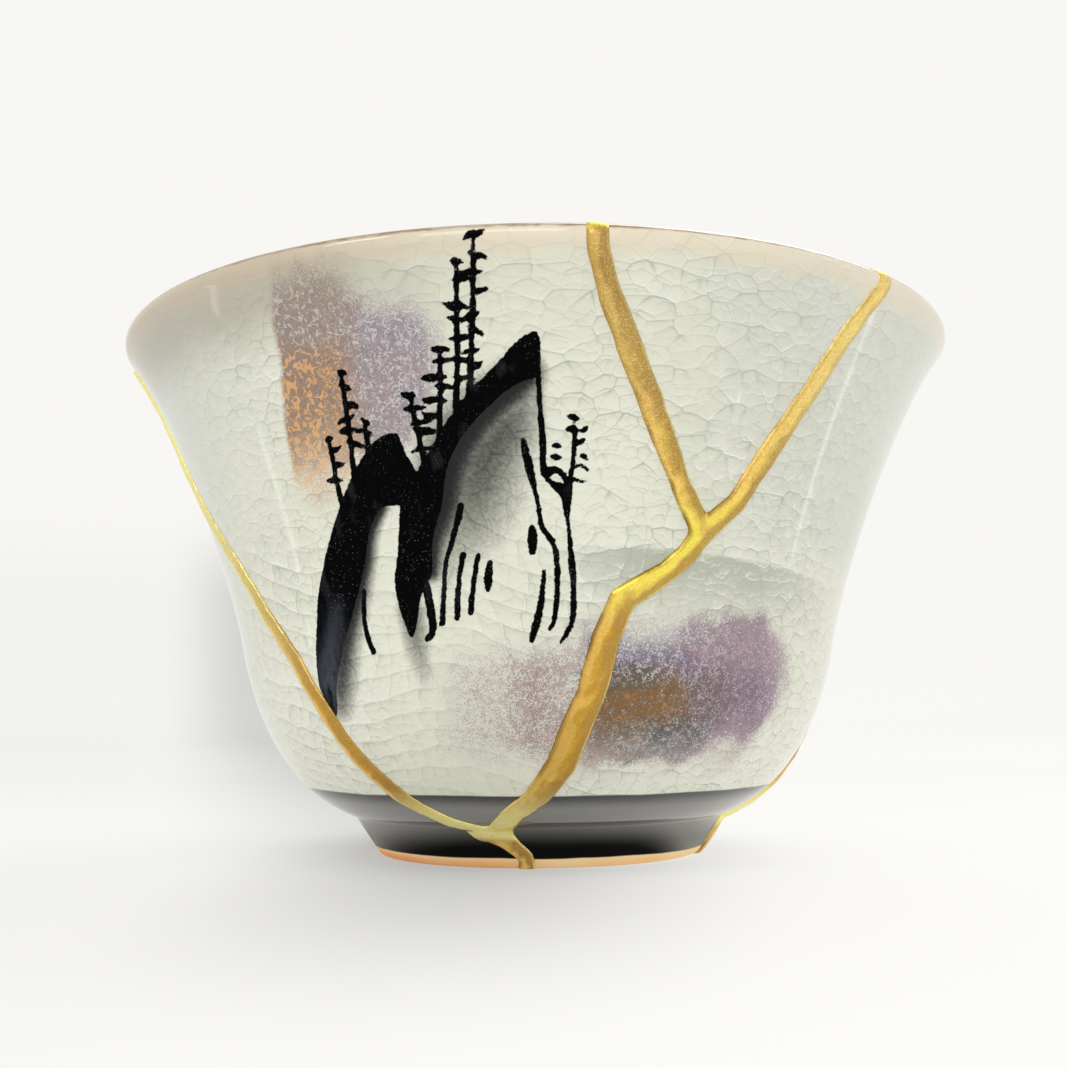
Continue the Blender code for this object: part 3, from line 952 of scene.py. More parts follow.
    def brushed(self, skin: Skin, here: Array, washes: Washes) -> Array:
        """A soft wash: its strength on its line, and falling as a bell curve as wide as it says.

        Args:
            skin: The skin that it lies on.
            here: The flat places, one a row.
            washes: The washes.

        Returns:
            The strength at each place, from 0 to 1.
        """
        value = np.zeros(len(here))
        for wash in washes:
            line = flowing(self.laid_flat(skin, np.array(wash)), self.wash_steps)
            for start, end in zip(line, line[1:]):
                reach = segment_reach(here, start[:2], end[:2], (0.0, 0.0))
                bell = np.exp(-((reach / ((start[2] + end[2]) / 2)) ** 2))
                value = np.maximum(value, bell * (start[3] + end[3]) / 2)
        return value

    def dabbed(self, skin: Skin, points: Array, flat: Array, dabs: tuple[Dab, ...]) -> tuple[Array, Array]:
        """The dabs laid over each other in turn, with wavering edges.

        A dab covers fully inside its box, and falls off with a smooth step over the distance from it. Its
        colour takes over as far as it covers.

        Args:
            skin: The skin that the dabs lie on.
            points: The places in space, one a row.
            flat: The same places laid flat.
            dabs: The dabs, the lowest first.

        Returns:
            The colour and the cover at each place.
        """
        waver = rippled(points, self.waver)
        colour = np.zeros((len(points), 3), np.float32)
        cover = np.zeros(len(points), np.float32)
        for dab in dabs:
            middle = self.laid_flat(skin, np.array((dab.middle,)))[0]
            beyond = np.maximum(np.abs(flat - middle) - dab.reach, 0.0)
            distance = np.linalg.norm(beyond, axis=1)
            distance += waver * smooth_step(distance / dab.fade)
            own = dab.cover * (1.0 - smooth_step(distance / dab.fade * 0.75))
            total = own + cover * (1.0 - own)
            share = (own / np.maximum(total, TINY))[:, None]
            blended = colour + (np.array(dab.colour) - colour) * share
            colour = np.where(total[:, None] > 1e-4, blended, dab.colour)
            cover = total
        taped = smooth_step((flat[:, 0] - self.tape) / self.tape_fade + 0.3 * waver)
        return colour.astype(np.float32), (cover * taped).astype(np.float32)


# -------------------------------------------------------------------------------------------- the sherds


@dataclass
class Clay:
    """The sherds: the whole skin as a fine grid, closed at both centres, cut along the cracks."""

    shape: CupShape
    skin: Skin
    cracks: Cracks
    painting: Painting
    coarse_turn: float = 1.5
    fine_turn: float = 0.34
    coarse_row: float = 0.8 * MM
    fine_row: float = 0.22 * MM
    edge_row: float = 0.3 * MM
    wall_share: float = 0.7
    ring_radius: float = 12.0 * MM
    wall_heights: tuple[float, float] = (8.0, 15.0)
    below_lip: float = 2.0 * MM
    crease_angle: float = 40.0
    markers: dict[Sherd, tuple[float, float]] = field(default_factory=lambda: {
        Sherd.PAINTED_FRONT: (-25.0, 30.0),
        Sherd.RIM_WEDGE: (26.0, 46.0),
        Sherd.RIGHT: (70.0, 30.0),
        Sherd.BASE_AND_BACK: (-150.0, 30.0),
    })

    def columns(self) -> Array:
        """The azimuths of the grid, close together across the painting.

        Returns:
            The azimuths, in radians.
        """
        start, end = self.painting.dense_from, self.painting.dense_to
        fine = np.arange(start, end, self.fine_turn)
        count = int((start + FULL_TURN - end) / self.coarse_turn)
        coarse = np.linspace(end, start + FULL_TURN, count, endpoint=False)
        return np.radians(np.concatenate((fine, coarse)))

    def rows(self) -> Array:
        """The lengths along the outline of the grid, close together up the painting and round the edges.

        Returns:
            The lengths, from the first centre to the last.
        """
        wall = self.skin.arc_at_height(metres(self.wall_heights))
        ring = float(self.skin.arc_at_radius(np.array(self.ring_radius)))
        stops = (
            (0.0, self.coarse_row),
            (ring, self.edge_row),
            (wall[0], self.coarse_row * self.wall_share),
            (wall[1], self.fine_row),
            (self.skin.lip + self.below_lip, self.coarse_row),
        )
        ends = [stop for stop, _row in stops[1:]] + [self.skin.total]
        runs = [
            np.linspace(start, end, max(2, int((end - start) / row)), endpoint=False)
            for (start, row), end in zip(stops, ends)
        ]
        return np.concatenate((*runs, (self.skin.total,)))

    def whole(self) -> bpy.types.Object:
        """The unbroken cup: every column of the grid at every row, with one point at each centre.

        Returns:
            The object, closed and facing outwards.
        """
        columns, rows = self.columns(), self.rows()
        flat, _normals = self.skin.at(rows)
        grid = around(columns[None, :], flat[1:-1, None, :])
        count = len(columns)
        points = np.vstack((grid.reshape(-1, 3), (0.0, 0.0, flat[0, 1]), (0.0, 0.0, flat[-1, 1])))
        first = np.arange(count)
        after = (first + 1) % count
        quads = grid_quads(len(rows) - 3, count)
        last = (len(rows) - 3) * count
        low = np.stack((np.full(count, len(points) - 2), after, first), axis=1)
        high = np.stack((np.full(count, len(points) - 1), last + first, last + after), axis=1)
        triangles = np.vstack((quads[:, (0, 1, 2)], quads[:, (0, 2, 3)], low, high))
        return new_mesh("whole-cup", points, triangles)

    def build(self) -> dict[Sherd, bpy.types.Object]:
        """Cuts the whole cup by every crack, and keeps each body as its sherd.

        Returns:
            The sherds, with the masks of the painting on them.
        """
        whole = self.whole()
        cuts = self.cracks.cutters(self.skin, self.shape)
        for cut in cuts:
            modifier = whole.modifiers.new(cut.name, "BOOLEAN")
            modifier.operation = "DIFFERENCE"
            modifier.solver = "MANIFOLD"
            modifier.object = cut
        bpy.context.view_layer.update()
        broken = bpy.data.meshes.new_from_object(whole.evaluated_get(bpy.context.evaluated_depsgraph_get()))
        points, triangles = vertices_of(broken), triangles_of(broken)
        for tool in (whole, *cuts):
            bpy.data.objects.remove(tool)
        labels = body_labels(len(points), triangles)
        sherds = {}
        for sherd, (azimuth, height) in self.markers.items():
            flat, _normals = self.skin.at(self.skin.arc_at_height(np.array(height * MM)))
            marker = around(np.radians(azimuth), flat)
            label = labels[np.argmin(np.linalg.norm(points - marker, axis=1))]
            sherds[sherd] = self.sherd(sherd, points, triangles[labels[triangles[:, 0]] == label])
        return sherds

    def sherd(self, sherd: Sherd, points: Array, triangles: Array) -> bpy.types.Object:
        """One sherd's object, from its own triangles, with the painting's masks as attributes.

        Args:
            sherd: Which sherd it is.
            points: The vertices of the whole broken cup.
            triangles: The triangles of this sherd.

        Returns:
            The object.
        """
        used, numbers = np.unique(triangles, return_inverse=True)
        obj = new_mesh(sherd.value + "-glazed", points[used], numbers.reshape(-1, 3))
        obj.data.set_sharp_from_angle(angle=np.radians(self.crease_angle))
        for mask, values in self.painting.masks(self.skin, points[used]).items():
            store(obj.data, mask.value, values)
        return obj


# ------------------------------------------------------------------------------------------ the gold seam


@dataclass
class GoldSeam:
    """The gold lacquer: the skin near the cracks, raised into a soft edged bead, and closed underneath."""

    shape: CupShape
    skin: Skin
    cracks: Cracks
    turn: float = 0.36
    row: float = 0.2 * MM
    step: float = 0.5 * MM
    fillet: float = 0.4 * MM
    shoulder: float = 1.3 * MM
    proud: float = 0.45 * MM
    bedded: float = 0.3 * MM
    wobble: float = 0.09 * MM
    reach: float = 4.0 * MM
    lip_share: float = 0.3
    lip_reach: tuple[float, float] = (0.8, 3.0)
    end_gap: float = 0.4 * MM
    margin_rows: float = 4.0
    waver: Ripples = ((0.7, 3.2 * MM, 21), (0.3, 1.1 * MM, 22))
    lumps: Ripples = ((0.14, 3.0 * MM, 31), (0.05, 1.0 * MM, 32))
    light_from: tuple[float, float] = (0.93, 0.37)
    weld_distance: float = 1e-7

    def field(self, azimuths: Array, arcs: Array) -> Array:
        """How far inside the gold each place of a grid lies: the runs' greatest reach, blended at forks.

        Two runs are blended by adding to the greater a bump that grows as they come within the fillet of
        each other, which webs the forks.

        Args:
            azimuths: The grid's azimuths.
            arcs: The grid's lengths along the outline.

        Returns:
            One length for each row and column, above zero inside.
        """
        flat, _normals = self.skin.at(arcs)
        grid = around(azimuths[None, :], flat[:, None, :])
        total = np.full(grid.shape[:2], -1.0)
        for run in self.cracks.gold(self.skin):
            line, widths = run.fine(self.skin, self.step)
            own = np.full(grid.shape[:2], -1.0)
            for start, end, first, second in zip(line, line[1:], widths, widths[1:]):
                middle = (start + end) / 2
                away = max(float(np.hypot(middle[0], middle[1])), self.reach)
                turn = np.arctan2(middle[0], -middle[1])
                apart = np.abs((azimuths - turn + np.pi) % (2 * np.pi) - np.pi)
                near = np.flatnonzero(apart < self.reach / away * 1.2)
                reach = segment_reach(grid[:, near], start, end, (first, second))
                own[:, near] = np.maximum(own[:, near], reach)
            closeness = np.maximum(self.fillet - np.abs(total - own), 0.0) / self.fillet
            total = np.maximum(total, own) + closeness**2 * self.fillet / 4
        uneven = rippled(grid.reshape(-1, 3), self.waver)
        return total + self.wobble * uneven.reshape(total.shape)

    def trimmed(self, field: Array) -> tuple[Array, Array]:
        """The grid's cells near the gold, cut off exactly where the field is zero.

        The grid stands up as a surface over its columns and rows, as high as the field, and a level plane
        cuts away what lies below zero.

        Args:
            field: One value for each row and column of the grid.

        Returns:
            The (column, row, field) places, one a row, and the triangles between them.
        """
        rows, columns = field.shape
        near = field > -self.margin_rows * self.row
        wrapped = np.concatenate((near, near[:, :1]), axis=1)
        cells = wrapped[:-1, :-1] & wrapped[1:, :-1] & wrapped[:-1, 1:] & wrapped[1:, 1:]
        row, column = np.nonzero(cells)
        numbers = np.arange(rows * (columns + 1)).reshape(rows, columns + 1)
        numbers = numbers[row, column][:, None] + (0, 1, columns + 2, columns + 1)
        used, faces = np.unique(numbers, return_inverse=True)
        heights = np.concatenate((field, field[:, :1]), axis=1).reshape(-1)[used] / MM
        places = np.stack((used % (columns + 1), used // (columns + 1), heights), axis=1)
        sheet = new_mesh("sheet", places, faces.reshape(-1, 4))
        shape = bmesh.new()
        shape.from_mesh(sheet.data)
        bmesh.ops.triangulate(shape, faces=shape.faces)
        everything = list(shape.verts) + list(shape.edges) + list(shape.faces)
        bmesh.ops.bisect_plane(shape, geom=everything, dist=1e-5, plane_co=(0.0, 0.0, 0.0),
                               plane_no=(0.0, 0.0, 1.0), clear_inner=True)
        bmesh.ops.triangulate(shape, faces=shape.faces)
        shape.to_mesh(sheet.data)
        shape.free()
        places, triangles = vertices_of(sheet.data), triangles_of(sheet.data)
        bpy.data.objects.remove(sheet)
        return places, triangles

    def build(self) -> bpy.types.Object:
        """The closed bead: its top stands off the skin, and its bottom lies in the clay.

        The height over the skin follows a quarter circle from the edge in to the shoulder, and then stays
        level apart from a slight unevenness. It is rubbed down over the lip, and flat on the ground.

        Returns:
            The gold seam's object.
        """
        azimuths = np.radians(np.arange(0.0, FULL_TURN, self.turn))
        arcs = np.arange(self.end_gap, self.skin.total - self.end_gap, self.row)
        places, triangles = self.trimmed(self.field(azimuths, arcs))
        turns = places[:, 0] * np.radians(self.turn)
        lengths = np.interp(places[:, 1], np.arange(len(arcs)), arcs)
        flat, normals = self.skin.at(lengths)
        normals = normals / np.linalg.norm(normals, axis=1, keepdims=True)
        skin, out = around(turns, flat), around(turns, normals)
        inward = np.clip(1.0 - places[:, 2] * MM / self.shoulder, 0.0, 1.0)
        lumps = rippled(skin, self.lumps, 1.0)
        start, end = self.lip_reach
        from_lip = np.abs(lengths - self.skin.lip) / MM
        rubbed = self.lip_share + (1.0 - self.lip_share) * smooth_step((from_lip - start) / (end - start))
        height = self.proud * np.sqrt(1.0 - inward**2) * lumps * rubbed
        top = skin + out * height[:, None]
        top[:, 2] = np.maximum(top[:, 2], 0.0)
        bottom = skin - out * self.bedded
        ways = triangles[:, ((0, 1), (1, 2), (2, 0))].reshape(-1, 2)
        edges = np.sort(ways, axis=1)
        _unique, first, shared = np.unique(edges, axis=0, return_index=True, return_counts=True)
        rim = ways[first[shared == 1]]
        count = len(top)
        sides = np.vstack((
            np.stack((rim[:, 1], rim[:, 0], rim[:, 0] + count), axis=1),
            np.stack((rim[:, 1], rim[:, 0] + count, rim[:, 1] + count), axis=1),
        ))
        faces = np.vstack((triangles, triangles[:, ::-1] + count, sides))
        seam = new_mesh("gold-lacquer-seam", np.vstack((top, bottom)), faces)
        store(seam.data, "edge", np.concatenate((places[:, 2], np.zeros(count))))
        self.weld(seam)
        self.lean(seam)
        return seam

    def weld(self, seam: bpy.types.Object) -> None:
        """Closes the seam where the grid's last column meets its first.

        Args:
            seam: The gold seam's object.
        """
        shape = bmesh.new()
        shape.from_mesh(seam.data)
        bmesh.ops.remove_doubles(shape, verts=shape.verts, dist=self.weld_distance)
        shape.to_mesh(seam.data)
        shape.free()

    def lean(self, seam: bpy.types.Object) -> None:
        """Records how far each place faces left and up, towards a light, for the painted highlight and shade
        on the gold.

        Args:
            seam: The gold seam's object.
        """
        points = vertices_of(seam.data)
        facing = np.empty(points.size, np.float32)
        seam.data.vertices.foreach_get("normal", facing)
        turns = np.arctan2(points[:, 0], -points[:, 1])
        _flat, normals = self.skin.at(self.skin.arc_at_height(points[:, 2]))
        normals = normals / np.linalg.norm(normals, axis=1, keepdims=True)
        upward = around(turns, np.stack((-normals[:, 1], normals[:, 0]), axis=1))
        aside = np.column_stack((-np.cos(turns), -np.sin(turns), np.zeros(len(points))))
        light_from = self.light_from[0] * aside + self.light_from[1] * upward
        light_facing = (facing.reshape(-1, 3) * light_from).sum(axis=1)
        store(seam.data, "lean", light_facing)


# ---------------------------------------------------------------------------------------------- finishes


class Wire:
    """What comes out of a node. Arithmetic on it adds the nodes that work it out, and gives their wire."""

    def __init__(self, graph: "Graph", socket: bpy.types.NodeSocket) -> None:
        """Keeps the socket, and the graph that it is in."""
        self.graph, self.socket = graph, socket

    def __add__(self, other: "Value") -> "Wire":
        """The sum with a wire or a number."""
        return self.graph.math("ADD", self, other)

    def __sub__(self, other: "Value") -> "Wire":
        """What is left when a wire or a number is taken off."""
        return self.graph.math("SUBTRACT", self, other)

    def __rsub__(self, other: "Value") -> "Wire":
        """What is left of a number when this is taken off."""
        return self.graph.math("SUBTRACT", other, self)

    def __mul__(self, other: "Value") -> "Wire":
        """The product with a wire or a number."""
        return self.graph.math("MULTIPLY", self, other)

    def __truediv__(self, other: "Value") -> "Wire":
        """How many times a wire or a number goes into this."""
        return self.graph.math("DIVIDE", self, other)

    def __or__(self, other: "Value") -> "Wire":
        """The greater of this and a wire or a number."""
        return self.graph.math("MAXIMUM", self, other)

    def __abs__(self) -> "Wire":
        """The size without the sign."""
        return self.graph.math("ABSOLUTE", self)

    def clamped(self) -> "Wire":
        """The value kept between 0 and 1."""
        return self.graph.math("ADD", self, 0.0, clamp=True)

    def ramp(self, zero: "Value", one: "Value") -> "Wire":
        """A smooth step: 0 at and before the first value, 1 at and after the second, whichever is higher.

        Args:
            zero: The value that gives 0.
            one: The value that gives 1, above it or below it.

        Returns:
            The wire of the step.
        """
        falling = not isinstance(zero, Wire) and zero > one
        inputs = {"Value": self, "From Min": one if falling else zero, "From Max": zero if falling else one,
                  "To Min": float(falling), "To Max": float(not falling)}
        return self.graph.add("ShaderNodeMapRange", inputs, interpolation_type="SMOOTHSTEP")


# What a node takes in: a wire, a number, or the numbers of a colour or a vector.
Value = Wire | float | tuple


class Graph:
    """Builds a node tree: every method adds nodes, most of them at the place that the tree is asked about."""

    def __init__(self, tree: bpy.types.NodeTree) -> None:
        """Starts on an empty tree.

        Args:
            tree: The tree.
        """
        self.tree = tree
        self.where = None
        tree.nodes.clear()

    def node(self, kind: str, inputs: dict, **settings: object) -> bpy.types.Node:
        """Adds a node.

        Args:
            kind: Blender's name for the node.
            inputs: Wires, numbers or colours by input name or number.
            settings: The node's own properties.

        Returns:
            The node.
        """
        node = self.tree.nodes.new(kind)
        for name, value in settings.items():
            setattr(node, name, value)
        for name, value in inputs.items():
            if isinstance(value, Wire):
                self.tree.links.new(value.socket, node.inputs[name])
            elif isinstance(value, tuple) and node.inputs[name].type == "RGBA":
                node.inputs[name].default_value = (*value, 1.0)
            else:
                node.inputs[name].default_value = value
        return node

    def add(self, kind: str, inputs: dict, output: int | str = 0, **settings: object) -> Wire:
        """Adds a node and hands back one of its outputs."""
        return Wire(self, self.node(kind, inputs, **settings).outputs[output])

    def math(self, operation: str, first: Value, second: Value = 0.0, clamp: bool = False) -> Wire:
        """An operation on numbers."""
        return self.add("ShaderNodeMath", {0: first, 1: second}, operation=operation, use_clamp=clamp)

    def vector(
        self, operation: str, first: Value, second: Value = (0.0, 0.0, 0.0), output: int | str = 0
    ) -> Wire:
        """An operation on vectors."""
        return self.add("ShaderNodeVectorMath", {0: first, 1: second}, output, operation=operation)

    def scaled(self, colour: Value, amount: Wire) -> Wire:
        """A colour times a number."""
        return self.add("ShaderNodeVectorMath", {0: colour, "Scale": amount}, operation="SCALE")

    def axes(self) -> tuple[Wire, Wire, Wire]:
        """The place's three coordinates."""
        outputs = self.node("ShaderNodeSeparateXYZ", {0: self.where}).outputs
        return tuple(Wire(self, outputs[axis]) for axis in "XYZ")

    def joined(self, first: Value, second: Value) -> Wire:
        """A vector of two numbers and a zero."""
        return self.add("ShaderNodeCombineXYZ", {0: first, 1: second})

    def mix(self, amount: Value, first: Value, second: Value) -> Wire:
        """A blend of two colours."""
        return self.add("ShaderNodeMix", {0: amount, 6: first, 7: second}, 2, data_type="RGBA")

    def noise(self, scale: Value, detail: float, distortion: float = 0.0, output: str = "Fac") -> Wire:
        """Soft cloudy noise, from 0 to 1 and mostly near a half."""
        inputs = {"Vector": self.where, "Scale": scale, "Detail": detail, "Distortion": distortion}
        return self.add("ShaderNodeTexNoise", inputs, output)

    def white(self, kind: str, value: Wire) -> Wire:
        """A random number for each value of a number, as kind W, or of a flat vector, as kind Vector."""
        dimensions = "1D" if kind == "W" else "2D"
        return self.add("ShaderNodeTexWhiteNoise", {kind: value}, "Value", noise_dimensions=dimensions)

    def attribute(self, name: str, output: str = "Fac") -> Wire:
        """A number stored on the mesh, or a colour with output Color."""
        return self.add("ShaderNodeAttribute", {}, output, attribute_type="GEOMETRY", attribute_name=name)

    def group(self, tree: bpy.types.NodeTree, inputs: dict) -> dict[str, Wire]:
        """Places a node group at the place, and hands back its outputs by name."""
        node = self.node("ShaderNodeGroup", {"Vector": self.where} | inputs, node_tree=tree)
        return {output.name: Wire(self, output) for output in node.outputs}


def new_material(name: str) -> tuple[bpy.types.Material, Graph]:
    """Makes a material, and the graph to build it in, which asks about the place on the object.

    Args:
        name: The material's name.

    Returns:
        The material and its graph.
    """
    material = bpy.data.materials.new(name)
    material.use_nodes = True
    graph = Graph(material.node_tree)
    graph.where = graph.add("ShaderNodeTexCoord", {}, "Object")
    return material, graph


def new_group(name: str, inputs: tuple[str, ...], outputs: tuple[str, ...]) -> tuple[Graph, dict[str, Wire]]:
    """Makes an empty node group of numbers, which asks about the vector that it is given.

    Args:
        name: The group's name.
        inputs: The names of its inputs, besides the vector.
        outputs: The names of its outputs.

    Returns:
        The graph to build in, and its inputs by name.
    """
    tree = bpy.data.node_groups.new(name, "ShaderNodeTree")
    tree.interface.new_socket("Vector", in_out="INPUT", socket_type="NodeSocketVector")
    for socket in inputs:
        tree.interface.new_socket(socket, in_out="INPUT", socket_type="NodeSocketFloat")
    for socket in outputs:
        tree.interface.new_socket(socket, in_out="OUTPUT", socket_type="NodeSocketFloat")
    graph = Graph(tree)
    entry = graph.node("NodeGroupInput", {})
    graph.where = Wire(graph, entry.outputs["Vector"])
    return graph, {socket: Wire(graph, entry.outputs[socket]) for socket in inputs}


@dataclass
class Effects:
    """The surface effects that the finishes use, each built once as a node group."""

    wander: Noise = (62.0, 1.0)
    hair_gaps: Noise = (120.0, 1.0)
    bends: Noise = (170.0, 1.0)
    quiver: Noise = (420.0, 2.0)
    drift: Noise = (150.0, 1.0)
    floor_reach: float = 20.0 * MM
    course_climb: float = 14.0
    stones_round: float = 96.0
    stone_length: float = 2.1 * MM
    stones_joined: float = 0.12

    def __post_init__(self) -> None:
        """Builds the groups."""
        self.crackle = self.build_crackle()
        self.specks = self.build_specks()

    def build_crackle(self) -> bpy.types.NodeTree:
        """Crazing: a net of fine lines, and a tilt of painted highlight and painted shade across each cell.

        The cells lie round scattered points, on the unrolled wall or on the floor as seen from above. On
        the front below the course top they lie in courses like stones in a wall instead.

        Returns:
            The node group.
        """
        graph, entry = new_group("crackle", ("Scale", "Line Width", "Course Height", "Course Top"),
                                 ("Lines", "Tilt", "Height"))
        scale, width, top = entry["Scale"], entry["Line Width"], entry["Course Top"]
        x, y, z = graph.axes()
        turn = graph.math("ARCTAN2", x, y * -1.0)
        wave = graph.noise(*self.wander) - 0.5
        flat = self.unrolled(graph, turn)
        cell_gap, cell_tilt = self.net(graph, flat, scale)
        fine_gap, fine_tilt = self.net(graph, flat, scale * 1.7)
        stones = self.courses(graph, z, turn, wave, entry["Course Height"])
        course_gap, upright_gap, course_tilt, kept = stones
        aside = abs(turn + 0.35).ramp(0.62, 0.78)
        high = (aside * 0.03 + (wave * 0.014 + z)).ramp(top - 4.0 * MM, top)
        low = 1.0 - high
        net = (cell_gap / width).ramp(1.2, 0.2) * high
        uprights = (upright_gap / width).ramp(1.2, 0.2) * kept
        grooves = net | ((course_gap / width).ramp(1.3, 0.2) | uprights) * low
        hairs = (fine_gap / width).ramp(0.9, 0.1) * graph.noise(*self.hair_gaps).ramp(0.40, 0.56) * 0.55
        graph.node("NodeGroupOutput", {
            "Lines": grooves | hairs,
            "Tilt": cell_tilt * high + course_tilt * low + fine_tilt * 0.6,
            "Height": grooves * -1.0,
        })
        return graph.tree

    def unrolled(self, graph: Graph, turn: Wire) -> Wire:
        """The cup's skin laid flat: round its wall and up it, or as it is near the axis, and bent a little.

        A step up the wall counts for more than one round it, which makes the cells of a net broad and low.

        Args:
            graph: The graph to build in.
            turn: The azimuth.

        Returns:
            The flat place, in metres.
        """
        x, y, z = graph.axes()
        level = graph.joined(x, y)
        away = graph.vector("LENGTH", level, output="Value")
        wall = graph.joined(turn * 0.038, (away * 0.55 + z) * 1.35)
        far = graph.math("GREATER_THAN", away, self.floor_reach)
        chosen = graph.add("ShaderNodeMix", {0: far, 4: level, 5: wall}, 1, data_type="VECTOR")
        cloud = graph.vector("SUBTRACT", graph.noise(*self.bends, output="Color"), (0.5, 0.5, 0.5))
        return graph.vector("ADD", chosen, graph.vector("MULTIPLY", cloud, (0.0022, 0.0022, 0.0)))

    def net(self, graph: Graph, flat: Wire, scale: Wire) -> tuple[Wire, Wire]:
        """Cells round scattered points: the distance to the nearest line, and the tilt of the cell.

        A cell takes a painted shade to its top and a painted highlight to its foot, more so near its edge.

        Args:
            graph: The graph to build in.
            flat: The flat place.
            scale: How many cells there are to a metre.

        Returns:
            The distance and the tilt.
        """
        inputs = {"Vector": flat, "Scale": scale, "Randomness": 1.0}
        cell = graph.node("ShaderNodeTexVoronoi", inputs, feature="F1", voronoi_dimensions="2D").outputs
        gap = graph.add("ShaderNodeTexVoronoi", inputs, "Distance", feature="DISTANCE_TO_EDGE",
                        voronoi_dimensions="2D") / scale
        colour = Wire(graph, cell["Color"])
        offset = graph.vector("SUBTRACT", flat, Wire(graph, cell["Position"]))
        lean = graph.vector("SUBTRACT", colour, (0.5, 1.25, 0.5))
        slope = graph.vector("DOT_PRODUCT", offset, lean, "Value")
        # Painted shade and highlight: each cell darker to its top and lighter to its foot.
        tilt = slope * scale * (gap.ramp(0.36 * MM, 0.0) * 2.2 + 0.45)
        tone = graph.add("ShaderNodeSeparateColor", {0: colour}, 2)
        return gap, (tone - 0.5) * 0.35 + tilt

    def courses(self, graph: Graph, z: Wire, turn: Wire, wave: Wire, height: Wire) -> tuple[Wire, ...]:
        """Courses of stones: rising lines, and uprights between them that start afresh in each course.

        Args:
            graph: The graph to build in.
            z: The height.
            turn: The azimuth.
            wave: What bends the courses.
            height: How high a course is.

        Returns:
            The distance to a course line, the distance to an upright, the painted shade and highlight across
            the stone, and whether the upright is there.
        """
        quiver = graph.noise(*self.quiver) - 0.5
        rise = z / height + wave * 5.0 + turn * (self.course_climb / (2.0 * np.pi)) + quiver * 0.5
        course = graph.math("FLOOR", rise)
        drift = graph.noise(*self.drift) - 0.5
        start = turn * (self.stones_round / (2.0 * np.pi)) + graph.white("W", course) * 7.0
        count = start + drift * 3.0 + quiver * 0.5
        tone = graph.white("Vector", graph.joined(course, graph.math("FLOOR", count)))
        kept = graph.white("Vector", graph.joined(course, graph.math("ROUND", count)))
        course_gap = graph.math("PINGPONG", rise, 0.5) * height
        upright_gap = graph.math("PINGPONG", count, 0.5) * self.stone_length
        rim = graph.math("MINIMUM", course_gap, upright_gap).ramp(0.5 * MM, 0.0)
        across = graph.math("FRACT", count) * 2.0 - 1.0
        up = graph.math("FRACT", rise) * -2.0 + 1.0
        # Painted shade and highlight across each stone, over a random tone.
        tilt = (across * 0.5 + up) * (rim * 0.7 + 0.25) + (tone - 0.5) * 0.5
        return course_gap, upright_gap, tilt, graph.math("GREATER_THAN", kept, self.stones_joined)

    def build_specks(self) -> bpy.types.NodeTree:
        """Grains: scattered bright flecks, and a random level for each grain.

        Returns:
            The node group.
        """
        graph, entry = new_group("specks", ("Scale", "Share"), ("Flecks", "Level"))
        grain = graph.node("ShaderNodeTexVoronoi", {"Vector": graph.where, "Scale": entry["Scale"]},
                           feature="F1").outputs
        level = graph.add("ShaderNodeSeparateColor", {0: Wire(graph, grain["Color"])})
        chosen = graph.math("GREATER_THAN", level, 1.0 - entry["Share"])
        core = Wire(graph, grain["Distance"]).ramp(0.55, 0.15)
        graph.node("NodeGroupOutput", {"Flecks": chosen * core, "Level": level})
        return graph.tree


